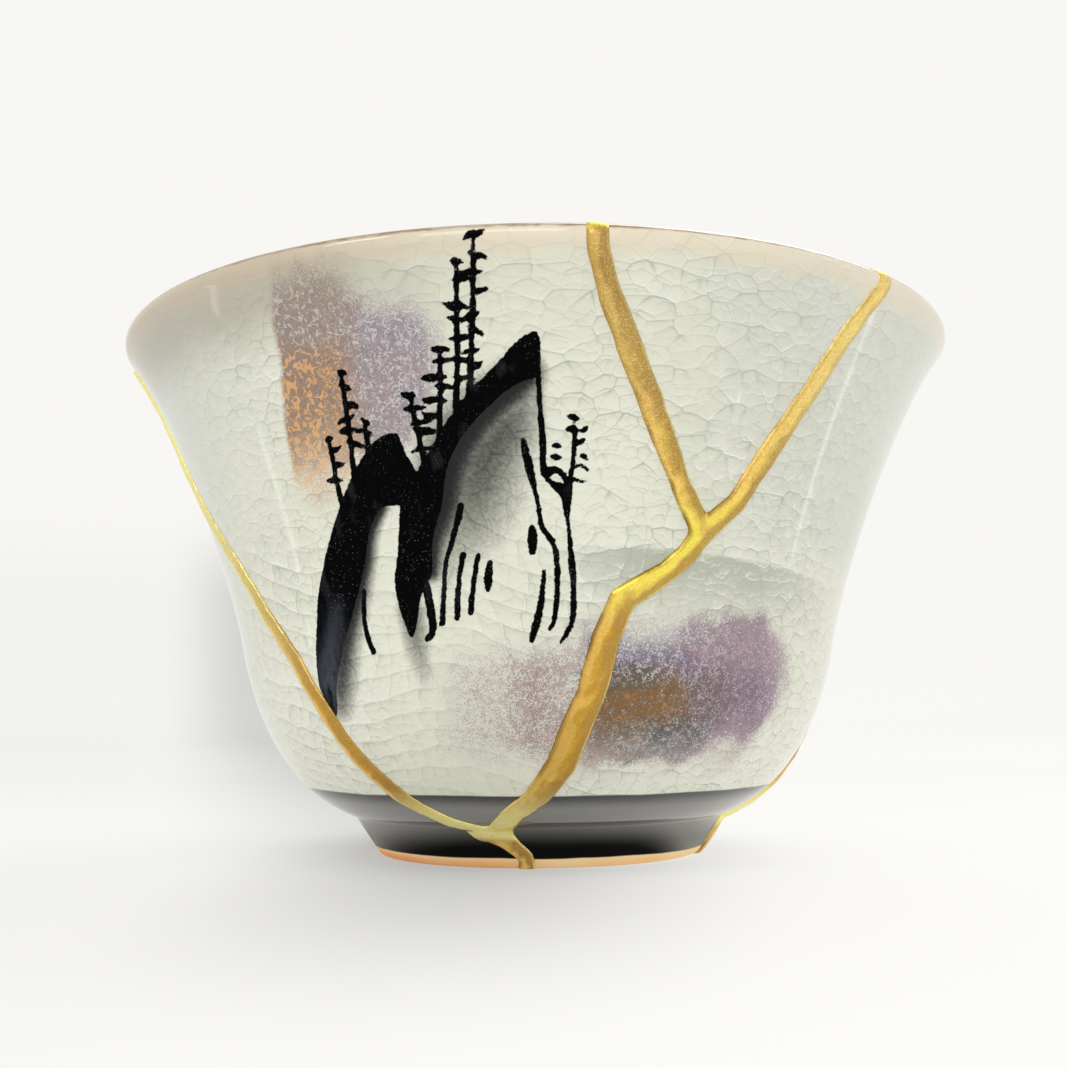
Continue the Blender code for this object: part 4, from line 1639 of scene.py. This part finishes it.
@dataclass(frozen=True)
class CeramicFinish:
    """The cup's surface: crackled celadon, black foot glaze, bare clay, a brown lip and the enamels.

    The colours lie under a clear glossy coat, which is thin over the ink and missing from the bare clay.
    """

    celadon: Colour = (0.705, 0.715, 0.580)
    celadon_light: Colour = (0.755, 0.765, 0.645)
    celadon_flank_shade: Colour = (0.54, 0.565, 0.53)
    celadon_front_shade: Colour = (0.43, 0.445, 0.36)
    facet_highlight: Colour = (0.86, 0.87, 0.79)
    facet_shade: Colour = (0.44, 0.46, 0.38)
    craze: Colour = (0.27, 0.29, 0.23)
    cream: Colour = (0.80, 0.70, 0.53)
    cream_brown: Colour = (0.56, 0.46, 0.33)
    left_lip_shade: Colour = (0.37, 0.34, 0.26)
    lip: Colour = (0.30, 0.17, 0.08)
    black: Colour = (0.002, 0.002, 0.002)
    black_sheen: Colour = (0.19, 0.185, 0.170)
    black_side_sheen: Colour = (0.29, 0.285, 0.268)
    clay: Colour = (0.98, 0.56, 0.23)
    clay_pale: Colour = (1.0, 0.76, 0.42)
    clay_red: Colour = (0.95, 0.38, 0.15)
    ink: Colour = (0.0015, 0.0015, 0.0018)
    worn_ink: Colour = (0.022, 0.022, 0.026)
    glint: Colour = (0.25, 0.25, 0.28)
    wash: Colour = (0.010, 0.011, 0.012)
    haze: Colour = (0.065, 0.075, 0.095)
    rust: Colour = (0.42, 0.18, 0.08)
    blue_grey: Colour = (0.22, 0.24, 0.29)
    crackle_scale: float = 460.0
    crackle_line: float = 0.055 * MM
    course_height: float = 1.9 * MM
    course_top: float = 34.0 * MM
    right_front_shade_height: float = 29.35 * MM
    right_front_shade_droop: float = 2.2 * MM
    bare_height: float = 0.95 * MM
    coat_on_ink: float = 0.02
    coat_on_enamel: float = 0.7
    fine_below: float = 29.0 * MM
    coarse_left: float = -18.6 * MM
    right_shade_band: Band = (8.0 * MM, 26.0 * MM)
    right_shade_heights: Band = (27.0 * MM, 32.0 * MM)
    left_band: Band = (-18.0 * MM, -46.0 * MM)
    plain_band: Band = (38.0 * MM, 22.0 * MM)
    left_lip_shade_band: Band = (9.0 * MM, 3.5 * MM)
    cream_band: Band = (3.4 * MM, 1.3 * MM)
    crest_band: Band = (0.62 * MM, 0.40 * MM)
    sheen_band: Band = (2.6 * MM, 6.4 * MM)
    dull_band: Band = (5.0 * MM, 2.2 * MM)
    clouds: Noise = (45.0, 3.0)
    tilt_patches: Noise = (70.0, 2.0)
    line_patches: Noise = (110.0, 3.0)
    left_lip_shade_edge: Noise = (160.0, 2.0)
    crest_edge: Noise = (900.0, 3.0)
    crest_wear: Noise = (420.0, 2.0)
    glaze_edge: Noise = (90.0, 3.0)
    peel: Noise = (260.0, 1.0)
    clay_clouds: Noise = (60.0, 3.0)
    enamel_grit: Noise = (6200.0, 1.0)
    enamel_clots: Noise = (1500.0, 3.0)
    enamel_stains: Noise = (1500.0, 4.0)
    curl_breaks: Noise = (1700.0, 1.0)
    ink_grit: Noise = (3400.0, 3.0)
    ink_spill: Noise = (1300.0, 2.0)
    ink_body: Noise = (260.0, 3.0)
    streak_scale: float = 800.0
    glitter_scale: float = 7200.0
    glitter_share: float = 0.10
    bump_height: float = 0.012 * MM

    def material(self, shape: CupShape, effects: Effects) -> bpy.types.Material:
        """Builds the ceramic's material.

        Args:
            shape: The cup's sizes, for the heights of the glazes.
            effects: The shared node groups.

        Returns:
            The material.
        """
        material, graph = new_material("crackle-glaze")
        height = graph.axes()[2]
        outside = graph.attribute(Mask.OUTSIDE.value)
        crackle = graph.group(effects.crackle, {
            "Scale": self.crackle_scale, "Line Width": self.crackle_line,
            "Course Height": self.course_height, "Course Top": self.course_top})
        colour = self.creamed(graph, self.glazed(graph, crackle), shape)
        colour, enamel = self.enamelled(graph, colour)
        colour, inked = self.inked(graph, colour, crackle, effects)
        level = height + graph.noise(*self.glaze_edge) * (0.5 * MM)
        line = shape.glaze_line
        dark = outside * level.ramp(line + 0.34 * MM, line + 0.16 * MM)
        colour = graph.mix(dark, colour, self.foot_glaze(graph, level, line))
        bare = outside * level.ramp(self.bare_height + 0.36 * MM, self.bare_height + 0.2 * MM)
        colour = graph.mix(bare, colour, self.bare_clay(graph, level))
        dull = dark * level.ramp(*self.dull_band) * 0.93
        coat = (1.0 - bare) * (1.0 - dull) * (inked * (self.coat_on_ink - 1.0) + 1.0)
        coat = coat * (enamel * (self.coat_on_enamel - 1.0) + 1.0)
        unpainted = graph.attribute(Mask.INK.value).ramp(0.0, 0.06) * height.ramp(line, line + 0.2 * MM)
        lumps = crackle["Height"] * unpainted + graph.noise(*self.peel) * 1.2
        bump = graph.add("ShaderNodeBump", {"Height": lumps, "Distance": self.bump_height, "Strength": 1.0})
        shader = graph.add("ShaderNodeBsdfPrincipled", {
            "Base Color": colour, "Roughness": 0.6, "Specular IOR Level": 0.0, "Normal": bump,
            "Coat Weight": coat, "Coat Roughness": 0.07, "Coat IOR": 1.75})
        graph.node("ShaderNodeOutputMaterial", {"Surface": shader})
        return material

    def glazed(self, graph: Graph, crackle: dict[str, Wire]) -> Wire:
        """Celadon that clouds from light to dark, with painted shade on its flanks and across the right
        front, a painted highlight and painted shade in each craze cell, and darker on the lines.

        Args:
            graph: The graph to build in.
            crackle: The crackle group's outputs.

        Returns:
            The colour.
        """
        across, _depth, height = graph.axes()
        colour = graph.mix(graph.noise(*self.clouds).ramp(0.3, 0.7), self.celadon, self.celadon_light)
        # Painted shade: a cooler, darker celadon over the left flank, and at half strength high on the right.
        right = across.ramp(*self.right_shade_band) * height.ramp(*self.right_shade_heights)
        colour = graph.mix(right * 0.5 | across.ramp(*self.left_band), colour, self.celadon_flank_shade)
        # Painted shade below a line across the right front.
        colour = graph.mix(self.right_front_shade(graph) * 0.95, colour, self.celadon_front_shade)
        patchy = graph.noise(*self.tilt_patches).ramp(0.3, 0.65)
        strength = (patchy * 0.5 + 0.5) * (abs(across).ramp(*self.plain_band) * 0.7 + 0.3)
        tilt = crackle["Tilt"] * strength
        # Painted highlight and painted shade across each craze cell.
        colour = graph.mix(((tilt | 0.0) * 0.56).clamped(), colour, self.facet_highlight)
        colour = graph.mix(((tilt * -1.0 | 0.0) * 0.46).clamped(), colour, self.facet_shade)
        faint = graph.noise(*self.line_patches).ramp(0.38, 0.66)
        return graph.mix(crackle["Lines"] * strength * (faint * 0.44 + 0.06), colour, self.craze)

    def right_front_shade(self, graph: Graph) -> Wire:
        """A painted shade: below a line across the right front, fading out downwards.

        Args:
            graph: The graph to build in.

        Returns:
            How much of the painted shade there is.
        """
        x, y, z = graph.axes()
        turn = graph.math("ARCTAN2", x, y * -1.0)
        under = turn * turn * -self.right_front_shade_droop + self.right_front_shade_height - z
        ends = turn.ramp(0.0, 0.30) * turn.ramp(1.15, 0.6)
        return under.ramp(-0.2 * MM, 0.3 * MM) * under.ramp(7.5 * MM, 0.8 * MM) * ends

    def creamed(self, graph: Graph, colour: Wire, shape: CupShape) -> Wire:
        """The glaze thins to cream below the lip and browner to its left, over a painted shade below the lip
        on the left, and the clay shows on the crest.

        Args:
            graph: The graph to build in.
            colour: The colour beneath.
            shape: The cup's sizes.

        Returns:
            The colour.
        """
        across, _depth, height = graph.axes()
        below = shape.height - height
        left = across.ramp(0.0, -26.0 * MM)
        # Painted shade: a darker brown-grey band below the lip on the left.
        level = below - (graph.noise(*self.left_lip_shade_edge) - 0.5) * (1.6 * MM)
        colour = graph.mix(level.ramp(*self.left_lip_shade_band) * left * 0.75, colour, self.left_lip_shade)
        tone = graph.mix(left, self.cream, self.cream_brown)
        colour = graph.mix(level.ramp(*self.cream_band) * 0.75, colour, tone)
        crest = (below - (graph.noise(*self.crest_edge) - 0.5) * (0.4 * MM)).ramp(*self.crest_band)
        worn = graph.noise(*self.crest_wear).ramp(0.36, 0.60)
        return graph.mix(crest * (worn * 0.35 + 0.55), colour, self.lip)

    def foot_glaze(self, graph: Graph, level: Wire, line: float) -> Wire:
        """Black glaze with a painted grey sheen above the foot's corner, reaching lower down and paler to the
        sides.

        Args:
            graph: The graph to build in.
            level: The height, as the wavering edge has it.
            line: Where this glaze ends.

        Returns:
            The colour.
        """
        x, y, _height = graph.axes()
        turn = graph.math("ARCTAN2", x, abs(y))
        # Painted sheen: grey over the black, lower and paler towards the sides.
        higher = level + turn * turn * (2.6 * MM) + turn.ramp(0.5, 1.3) * (3.0 * MM)
        thin = higher.ramp(*self.sheen_band) * level.ramp(line + 0.2 * MM, line - 1.2 * MM)
        grey = graph.mix(abs(turn).ramp(0.6, 1.3), self.black_sheen, self.black_side_sheen)
        return graph.mix(thin, self.black, grey)

    def bare_clay(self, graph: Graph, level: Wire) -> Wire:
        """The foot's clay: cloudy, redder to the left, and paler just under the glaze.

        Args:
            graph: The graph to build in.
            level: The height, as the wavering edge has it.

        Returns:
            The colour.
        """
        colour = graph.mix(graph.noise(*self.clay_clouds).ramp(0.35, 0.65), self.clay, self.clay_pale)
        colour = graph.mix(graph.axes()[0].ramp(0.0, -14.0 * MM) * 0.7, colour, self.clay_red)
        edge = level.ramp(self.bare_height - 0.2 * MM, self.bare_height + 0.25 * MM)
        return graph.mix(edge * 0.75, colour, self.clay_pale)

    def enamelled(self, graph: Graph, colour: Wire) -> tuple[Wire, Wire]:
        """The dabbed enamels: a ground that breaks into grains where it is thin, and curls on top of it.

        The curls lie where a cloudy noise is close to a half, which it is along winding lines.

        Args:
            graph: The graph to build in.
            colour: The colour beneath.

        Returns:
            The colour, and how much enamel there is.
        """
        across, _depth, height = graph.axes()
        grit = graph.noise(*self.enamel_grit) - 0.5
        clots = graph.noise(*self.enamel_clots, 0.5) - 0.5
        cover = graph.attribute(Mask.GROUND_COVER.value)
        grains = (cover * 0.95 + (grit * 2.3 + clots * 1.2)).ramp(0.26, 0.56) * (cover * 1.35).clamped()
        amount = (grains | cover * 0.34) * cover.ramp(0.01, 0.12)
        stain = graph.noise(*self.enamel_stains)
        tint = graph.attribute(Mask.GROUND.value, "Color")
        tint = graph.mix(stain.ramp(0.61, 0.69) * 0.4, tint, self.rust)
        tint = graph.mix(stain.ramp(0.42, 0.34) * 0.5, tint, self.blue_grey)
        colour = graph.mix(amount, colour, graph.scaled(tint, grit + clots + 1.0))
        share = graph.attribute(Mask.CURLS_COVER.value)
        low = graph.math("LESS_THAN", height, self.fine_below)
        coarse = graph.math("LESS_THAN", across, self.coarse_left)
        worms = graph.noise(low * 900.0 + coarse * -1300.0 + 2400.0, 1.5, 0.5)
        body = (abs(worms - 0.5) - share * (coarse * 0.035 + 0.055)).ramp(0.012, -0.018)
        curls = body * graph.noise(*self.curl_breaks).ramp(0.40, 0.52) * share.ramp(0.04, 0.35)
        colour = graph.mix(curls * (low * -0.2 + 0.92), colour, graph.attribute(Mask.CURLS.value, "Color"))
        return colour, amount | curls

    def inked(
        self, graph: Graph, colour: Wire, crackle: dict[str, Wire], effects: Effects
    ) -> tuple[Wire, Wire]:
        """The brushed black: washes, then solid ink with a rough edge and a fine metal glitter in it.

        Args:
            graph: The graph to build in.
            colour: The colour beneath.
            crackle: The crackle group's outputs.
            effects: The shared node groups.

        Returns:
            The colour, and how much solid ink there is.
        """
        grit = graph.noise(*self.ink_grit) - 0.5
        brushed = graph.attribute(Mask.WASH.value)
        clear = 1.0 - (grit * 0.35 + brushed).clamped() * brushed.ramp(0.01, 0.15)
        shade = 1.0 - clear * clear
        colour = graph.mix(shade, colour, self.wash)
        colour = graph.mix(crackle["Lines"] * brushed.ramp(0.03, 0.3) * 0.32, colour, self.wash)
        spill = graph.noise(*self.ink_spill) - 0.5
        solid = (graph.attribute(Mask.INK.value) + grit * 0.24 + spill * 0.26).ramp(0.06, -0.04)
        along = graph.vector("MULTIPLY", graph.where, (1.0, 1.0, 0.25))
        inputs = {"Vector": along, "Scale": self.streak_scale, "Detail": 3.0}
        streaks = graph.add("ShaderNodeTexNoise", inputs, "Fac")
        ink = graph.mix(graph.attribute(Mask.HAZE.value) * streaks.ramp(0.30, 0.62), self.ink, self.haze)
        ink = graph.mix(streaks.ramp(0.56, 0.72) * 0.5, ink, self.worn_ink)
        specks = graph.group(effects.specks, {"Scale": self.glitter_scale, "Share": self.glitter_share})
        thick = graph.noise(*self.ink_body).ramp(0.40, 0.62)
        ink = graph.mix(specks["Flecks"] * (thick * 0.34 + 0.04), ink, self.glint)
        return graph.mix(solid, colour, ink), solid | shade * 0.8


@dataclass(frozen=True)
class GoldFinish:
    """Gold powder on lacquer: cloudy ochre to bright gold, with a painted highlight on the side that faces
    the light and painted shade on the other, and grainy all over.
    """

    deep: Colour = (0.50, 0.26, 0.04)
    middle: Colour = (0.64, 0.41, 0.09)
    bright: Colour = (0.82, 0.57, 0.13)
    yellow_highlight: Colour = (1.0, 0.84, 0.12)
    sparkle: Colour = (0.97, 0.88, 0.38)
    pale: Colour = (1.0, 0.86, 0.34)
    amber: Colour = (0.66, 0.35, 0.04)
    dusty: Colour = (0.46, 0.31, 0.12)
    lit: Colour = (0.98, 0.66, 0.18)
    lemon: Colour = (1.0, 0.91, 0.37)
    edge: Colour = (0.24, 0.11, 0.03)
    shaded: Colour = (0.42, 0.25, 0.07)
    amber_bands: Bands = ((27.0 * MM, 20.0 * MM), (7.0 * MM, 11.0 * MM))
    yellow_highlight_bands: Bands = ((22.0 * MM, 26.0 * MM), (36.0 * MM, 30.0 * MM))
    lemon_bands: Bands = ((8.5 * MM, 4.5 * MM), (2.6 * MM, 3.4 * MM))
    dusty_bands: Bands = ((34.0 * MM, 45.0 * MM), (54.2 * MM, 53.4 * MM))
    pale_band: Band = (14.0 * MM, 24.0 * MM)
    gleam_band: Band = (-12.0 * MM, -4.0 * MM)
    left_band: Band = (-18.0 * MM, -40.0 * MM)
    crest_band: Band = (53.6 * MM, 54.2 * MM)
    grainy_band: Band = (24.0 * MM, 40.0 * MM)
    grain_scale: float = 8500.0
    grain_share: float = 0.3
    clouds: Noise = (200.0, 3.0)
    yellow_highlight_patches: Noise = (260.0, 2.0)
    lit_patches: Noise = (330.0, 2.0)
    rubbing: Noise = (420.0, 2.0)
    lumps: Noise = (650.0, 2.0)
    bump_height: float = 0.02 * MM

    def material(self, effects: Effects) -> bpy.types.Material:
        """Builds the gold's material.

        Args:
            effects: The shared node groups.

        Returns:
            The material.
        """
        material, graph = new_material("gold-lacquer")
        height = graph.axes()[2]
        grain = graph.group(effects.specks, {"Scale": self.grain_scale, "Share": self.grain_share})
        grainy = height.ramp(*self.grainy_band)
        colour = graph.scaled(self.toned(graph), (grain["Level"] - 0.5) * (grainy * 0.16 + 0.14) + 1.0)
        colour = graph.mix(grain["Flecks"] * (grainy * 0.40 + 0.10), colour, self.sparkle)
        roughness = graph.noise(*self.rubbing) * 0.2 + 0.14 + grainy * 0.16
        lumps = grain["Level"] * 0.7 + graph.noise(*self.lumps) * 2.4
        bump = graph.add("ShaderNodeBump", {"Height": lumps, "Distance": self.bump_height, "Strength": 1.0})
        shader = graph.add("ShaderNodeBsdfPrincipled", {
            "Base Color": colour, "Roughness": roughness, "Metallic": 1.0, "Normal": bump})
        graph.node("ShaderNodeOutputMaterial", {"Surface": shader})
        return material

    def toned(self, graph: Graph) -> Wire:
        """The gold's tone by its height, with painted highlight and painted shade by the side it faces, and
        by how near it is to its edge.

        Args:
            graph: The graph to build in.

        Returns:
            The colour.
        """
        across, _depth, height = graph.axes()
        amber, middle, low, high = (
            height.ramp(*first) * height.ramp(*second)
            for first, second in (self.amber_bands, self.yellow_highlight_bands, self.lemon_bands, self.dusty_bands)
        )
        cloud = graph.noise(*self.clouds)
        colour = graph.mix(cloud.ramp(0.34, 0.52), self.deep, self.middle)
        colour = graph.mix(cloud.ramp(0.50, 0.66), colour, self.bright)
        colour = graph.mix(amber * 0.8, colour, self.amber)
        # Painted highlight: yellow on the middle run of the gold.
        yellow_highlight = graph.noise(*self.yellow_highlight_patches).ramp(0.35, 0.6)
        colour = graph.mix(middle * (yellow_highlight * 0.3 + 0.1), colour, self.yellow_highlight)
        tone = graph.mix(across.ramp(*self.pale_band), self.dusty, self.pale)
        colour = graph.mix(high * 0.65, colour, tone)
        patchy = graph.noise(*self.lit_patches).ramp(0.4, 0.6)
        lean = patchy * 0.12 + (graph.attribute("lean") - 0.06)
        dull = 1.0 - (low | high * 0.5)
        lit = graph.mix(middle, self.lit, self.yellow_highlight)
        # Painted highlight where the gold faces the light, and painted shade where it faces away.
        colour = graph.mix(lean.ramp(0.02, 0.16) * dull * (amber * -0.35 + 0.8), colour, lit)
        colour = graph.mix(lean.ramp(0.03, -0.14) * dull * 0.72, colour, self.shaded)
        edge = graph.attribute("edge")
        # Darker brown along the edge on the side that faces the light.
        rim = edge.ramp(0.46, 0.08) * lean.ramp(0.06, 0.35) * dull
        colour = graph.mix(rim * (patchy * 0.5 + 0.25), colour, self.edge)
        # Painted reflection: a thin pale gleam along the edge that faces away from the light.
        gleam = edge.ramp(0.30, 0.10) * lean.ramp(-0.15, -0.45) * across.ramp(*self.gleam_band) * dull
        colour = graph.mix(gleam * (patchy * 0.5 + 0.4), colour, self.pale)
        colour = graph.mix(low * 0.95, colour, self.lemon)
        colour = graph.mix(across.ramp(*self.left_band), colour, self.sparkle)
        # Painted highlight: yellow on the gold's top over the lip.
        return graph.mix(height.ramp(*self.crest_band) * 0.8, colour, self.yellow_highlight)


# ------------------------------------------------------------------------------------------------ studio


@dataclass(frozen=True)
class Softbox:
    """A white light: its name, where it hangs, its width and height in metres, and its power in watts."""

    name: str
    place: tuple[float, float, float]
    size: tuple[float, float]
    power: float


@dataclass
class Studio:
    """The camera, a pale floor that sweeps up all round, and soft white light."""

    distance: float = 145.8 * MM
    camera_height: float = 15.2 * MM
    pitch: float = 7.69
    yaw: float = 0.15
    roll: float = -0.54
    lens: float = 43.87
    sensor: float = 36.0
    floor_radius: float = 0.8
    sweep_radius: float = 0.6
    wall_height: float = 1.8
    floor_sides: int = 96
    floor_rings: tuple[float, float] = (0.02, 0.3)
    sweep_sides: int = 16
    floor_glow: float = 0.760
    shadow_pool_depth: float = 0.29
    shadow_trail_depth: float = 0.24
    left_shadow_depth: float = 0.045
    shadow_pool_middle: tuple[float, float, float] = (-7.0 * MM, -22.0 * MM, 0.0)
    shadow_pool_reach: tuple[float, float, float] = (30.0 * MM, 68.0 * MM, 60.0 * MM)
    far_depth: float = 0.045
    shadow_trail_width: float = 36.0 * MM
    shadow_trail_spread: float = 0.05
    shadow_trail_lean: float = 0.24
    shadow_trail_shift: float = 8.0 * MM
    shadow_trail_band: Band = (-30.0 * MM, 10.0 * MM)
    shadow_height_band: Band = (0.24, 0.12)
    left_band: Band = (0.02, -0.06)
    far_bands: Bands = ((0.02, 0.16), (0.95, 0.40))
    floor_colour: Colour = (0.20, 0.20, 0.195)
    glow_colour: Colour = (1.0, 0.99, 0.965)
    sky_colour: Colour = (1.0, 0.995, 0.98)
    sky: float = 0.68
    aim_height: float = 0.03
    softboxes: tuple[Softbox, ...] = (
        Softbox("overhead", (0.24, 0.34, 0.62), (0.4, 0.4), 1.7),
        Softbox("key", (-0.42, -0.34, 0.50), (0.16, 0.16), 0.30),
        Softbox("fill", (-0.14, -0.74, 0.42), (0.5, 0.4), 0.95),
        Softbox("right-strip", (0.120, -0.003, 0.0155), (0.003, 0.018), 0.00022),
        Softbox("left-strip", (-0.120, -0.0175, 0.0085), (0.004, 0.013), 0.00015),
    )

    def build(self) -> None:
        """Sets up everything round the cup."""
        self.camera()
        self.floor()
        self.lights()

    def camera(self) -> None:
        """Places the camera low in front of the cup, tipped up a little."""
        data = bpy.data.cameras.new("camera")
        data.sensor_fit = "VERTICAL"
        data.sensor_height = self.sensor
        data.lens = self.lens
        data.clip_start = 0.01
        camera = linked("camera", data)
        turn = Matrix.Rotation(np.radians(self.yaw), 4, "Z")
        tip = Matrix.Rotation(np.radians(90.0 + self.pitch), 4, "X")
        lean = Matrix.Rotation(np.radians(self.roll), 4, "Z")
        place = Matrix.Translation(Vector((0.0, -self.distance, self.camera_height)))
        camera.matrix_world = place @ turn @ tip @ lean
        bpy.context.scene.camera = camera

    def floor(self) -> None:
        """Lays a round pale floor that turns up into a wall, as a quarter circle, and glows a little."""
        turns = np.linspace(-np.pi / 2, 0.0, self.sweep_sides)
        arc = self.sweep_radius * np.stack((np.cos(turns), 1.0 + np.sin(turns)), axis=1)
        arc[:, 0] += self.floor_radius
        rings = [(radius, 0.0) for radius in self.floor_rings]
        flat = np.vstack((rings, arc, ((arc[-1, 0], self.wall_height),)))
        columns = np.linspace(0.0, 2 * np.pi, self.floor_sides, endpoint=False)
        quads = grid_quads(len(flat) - 1, self.floor_sides)[:, ::-1]
        disc = list(range(self.floor_sides))
        points = around(columns[None, :], flat[:, None, :]).reshape(-1, 3)
        floor = new_mesh("floor", points, [*quads.tolist(), disc])
        material, graph = new_material("pale-floor")
        material.cycles.emission_sampling = "NONE"
        shader = graph.add("ShaderNodeBsdfPrincipled", {
            "Base Color": self.floor_colour, "Roughness": 0.9, "Specular IOR Level": 0.0,
            "Emission Color": graph.scaled(self.glow_colour, self.glow(graph)), "Emission Strength": 1.0})
        graph.node("ShaderNodeOutputMaterial", {"Surface": shader})
        floor.data.materials.append(material)

    def glow(self, graph: Graph) -> Wire:
        """How brightly the floor glows: less in painted shadows under the cup, behind it and to its left, and
        a little less far behind.

        Args:
            graph: The graph to build in.

        Returns:
            The strength of the glow.
        """
        x, y, z = graph.axes()
        # Painted shadows in the glow: one under the cup, one that runs behind it and one to its left.
        offset = graph.vector("SUBTRACT", graph.where, self.shadow_pool_middle)
        away = graph.vector("LENGTH", graph.vector("DIVIDE", offset, self.shadow_pool_reach), output="Value")
        shadow_pool = away.ramp(1.0, 0.0)
        spread = (y | 0.0) * self.shadow_trail_spread + self.shadow_trail_width
        low = z.ramp(*self.shadow_height_band)
        aside = abs(y * self.shadow_trail_lean + (x + self.shadow_trail_shift)) / spread
        shadow_trail = aside.ramp(1.0, 0.0) * y.ramp(*self.shadow_trail_band) * low
        left = x.ramp(*self.left_band) * low
        far = y.ramp(*self.far_bands[0]) * y.ramp(*self.far_bands[1])
        shade = shadow_pool * self.shadow_pool_depth + far * self.far_depth
        return self.floor_glow - (shade + shadow_trail * self.shadow_trail_depth + left * self.left_shadow_depth)

    def hang(self, softbox: Softbox) -> None:
        """Hangs a softbox that faces the cup's axis at its own height, or at the cup from above.

        Args:
            softbox: The softbox.
        """
        data = bpy.data.lights.new(softbox.name, "AREA")
        data.shape = "RECTANGLE"
        data.size, data.size_y = softbox.size
        data.energy = softbox.power
        light = linked(softbox.name, data)
        light.visible_camera = False
        place = Vector(softbox.place)
        aim = Vector((0.0, 0.0, min(place.z, self.aim_height))) - place
        light.matrix_world = Matrix.Translation(place) @ aim.to_track_quat("-Z", "Y").to_matrix().to_4x4()

    def lights(self) -> None:
        """An even sky, softboxes above, and a strip low on each side that draws a line in the glaze."""
        world = bpy.data.worlds.new("studio")
        world.use_nodes = True
        background = world.node_tree.nodes["Background"]
        background.inputs["Color"].default_value = (*self.sky_colour, 1.0)
        background.inputs["Strength"].default_value = self.sky
        bpy.context.scene.world = world
        bpy.context.scene.view_settings.view_transform = "Standard"
        for softbox in self.softboxes:
            self.hang(softbox)


def main() -> None:
    """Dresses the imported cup: sherds, gold, finishes and studio."""
    logging.basicConfig(level=logging.INFO, format="%(name)s: %(message)s")
    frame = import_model()
    LOG.info("the frame has %d nodes", len(frame["nodes"]))
    shape = CupShape()
    skin = shape.skin()
    cracks = Cracks()
    effects = Effects()
    ceramic = CeramicFinish().material(shape, effects)
    gold = GoldFinish().material(effects)
    for sherd, piece in Clay(shape, skin, cracks, Painting()).build().items():
        piece.data.materials.append(ceramic)
        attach(piece, BODY)
        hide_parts(sherd.value)
        LOG.info("%s has %d triangles", piece.name, len(piece.data.polygons))
    seam = GoldSeam(shape, skin, cracks).build()
    seam.data.materials.append(gold)
    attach(seam, BODY)
    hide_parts("gold-seam")
    LOG.info("%s has %d triangles", seam.name, len(seam.data.polygons))
    Studio().build()


if __name__ == "__main__":
    main()
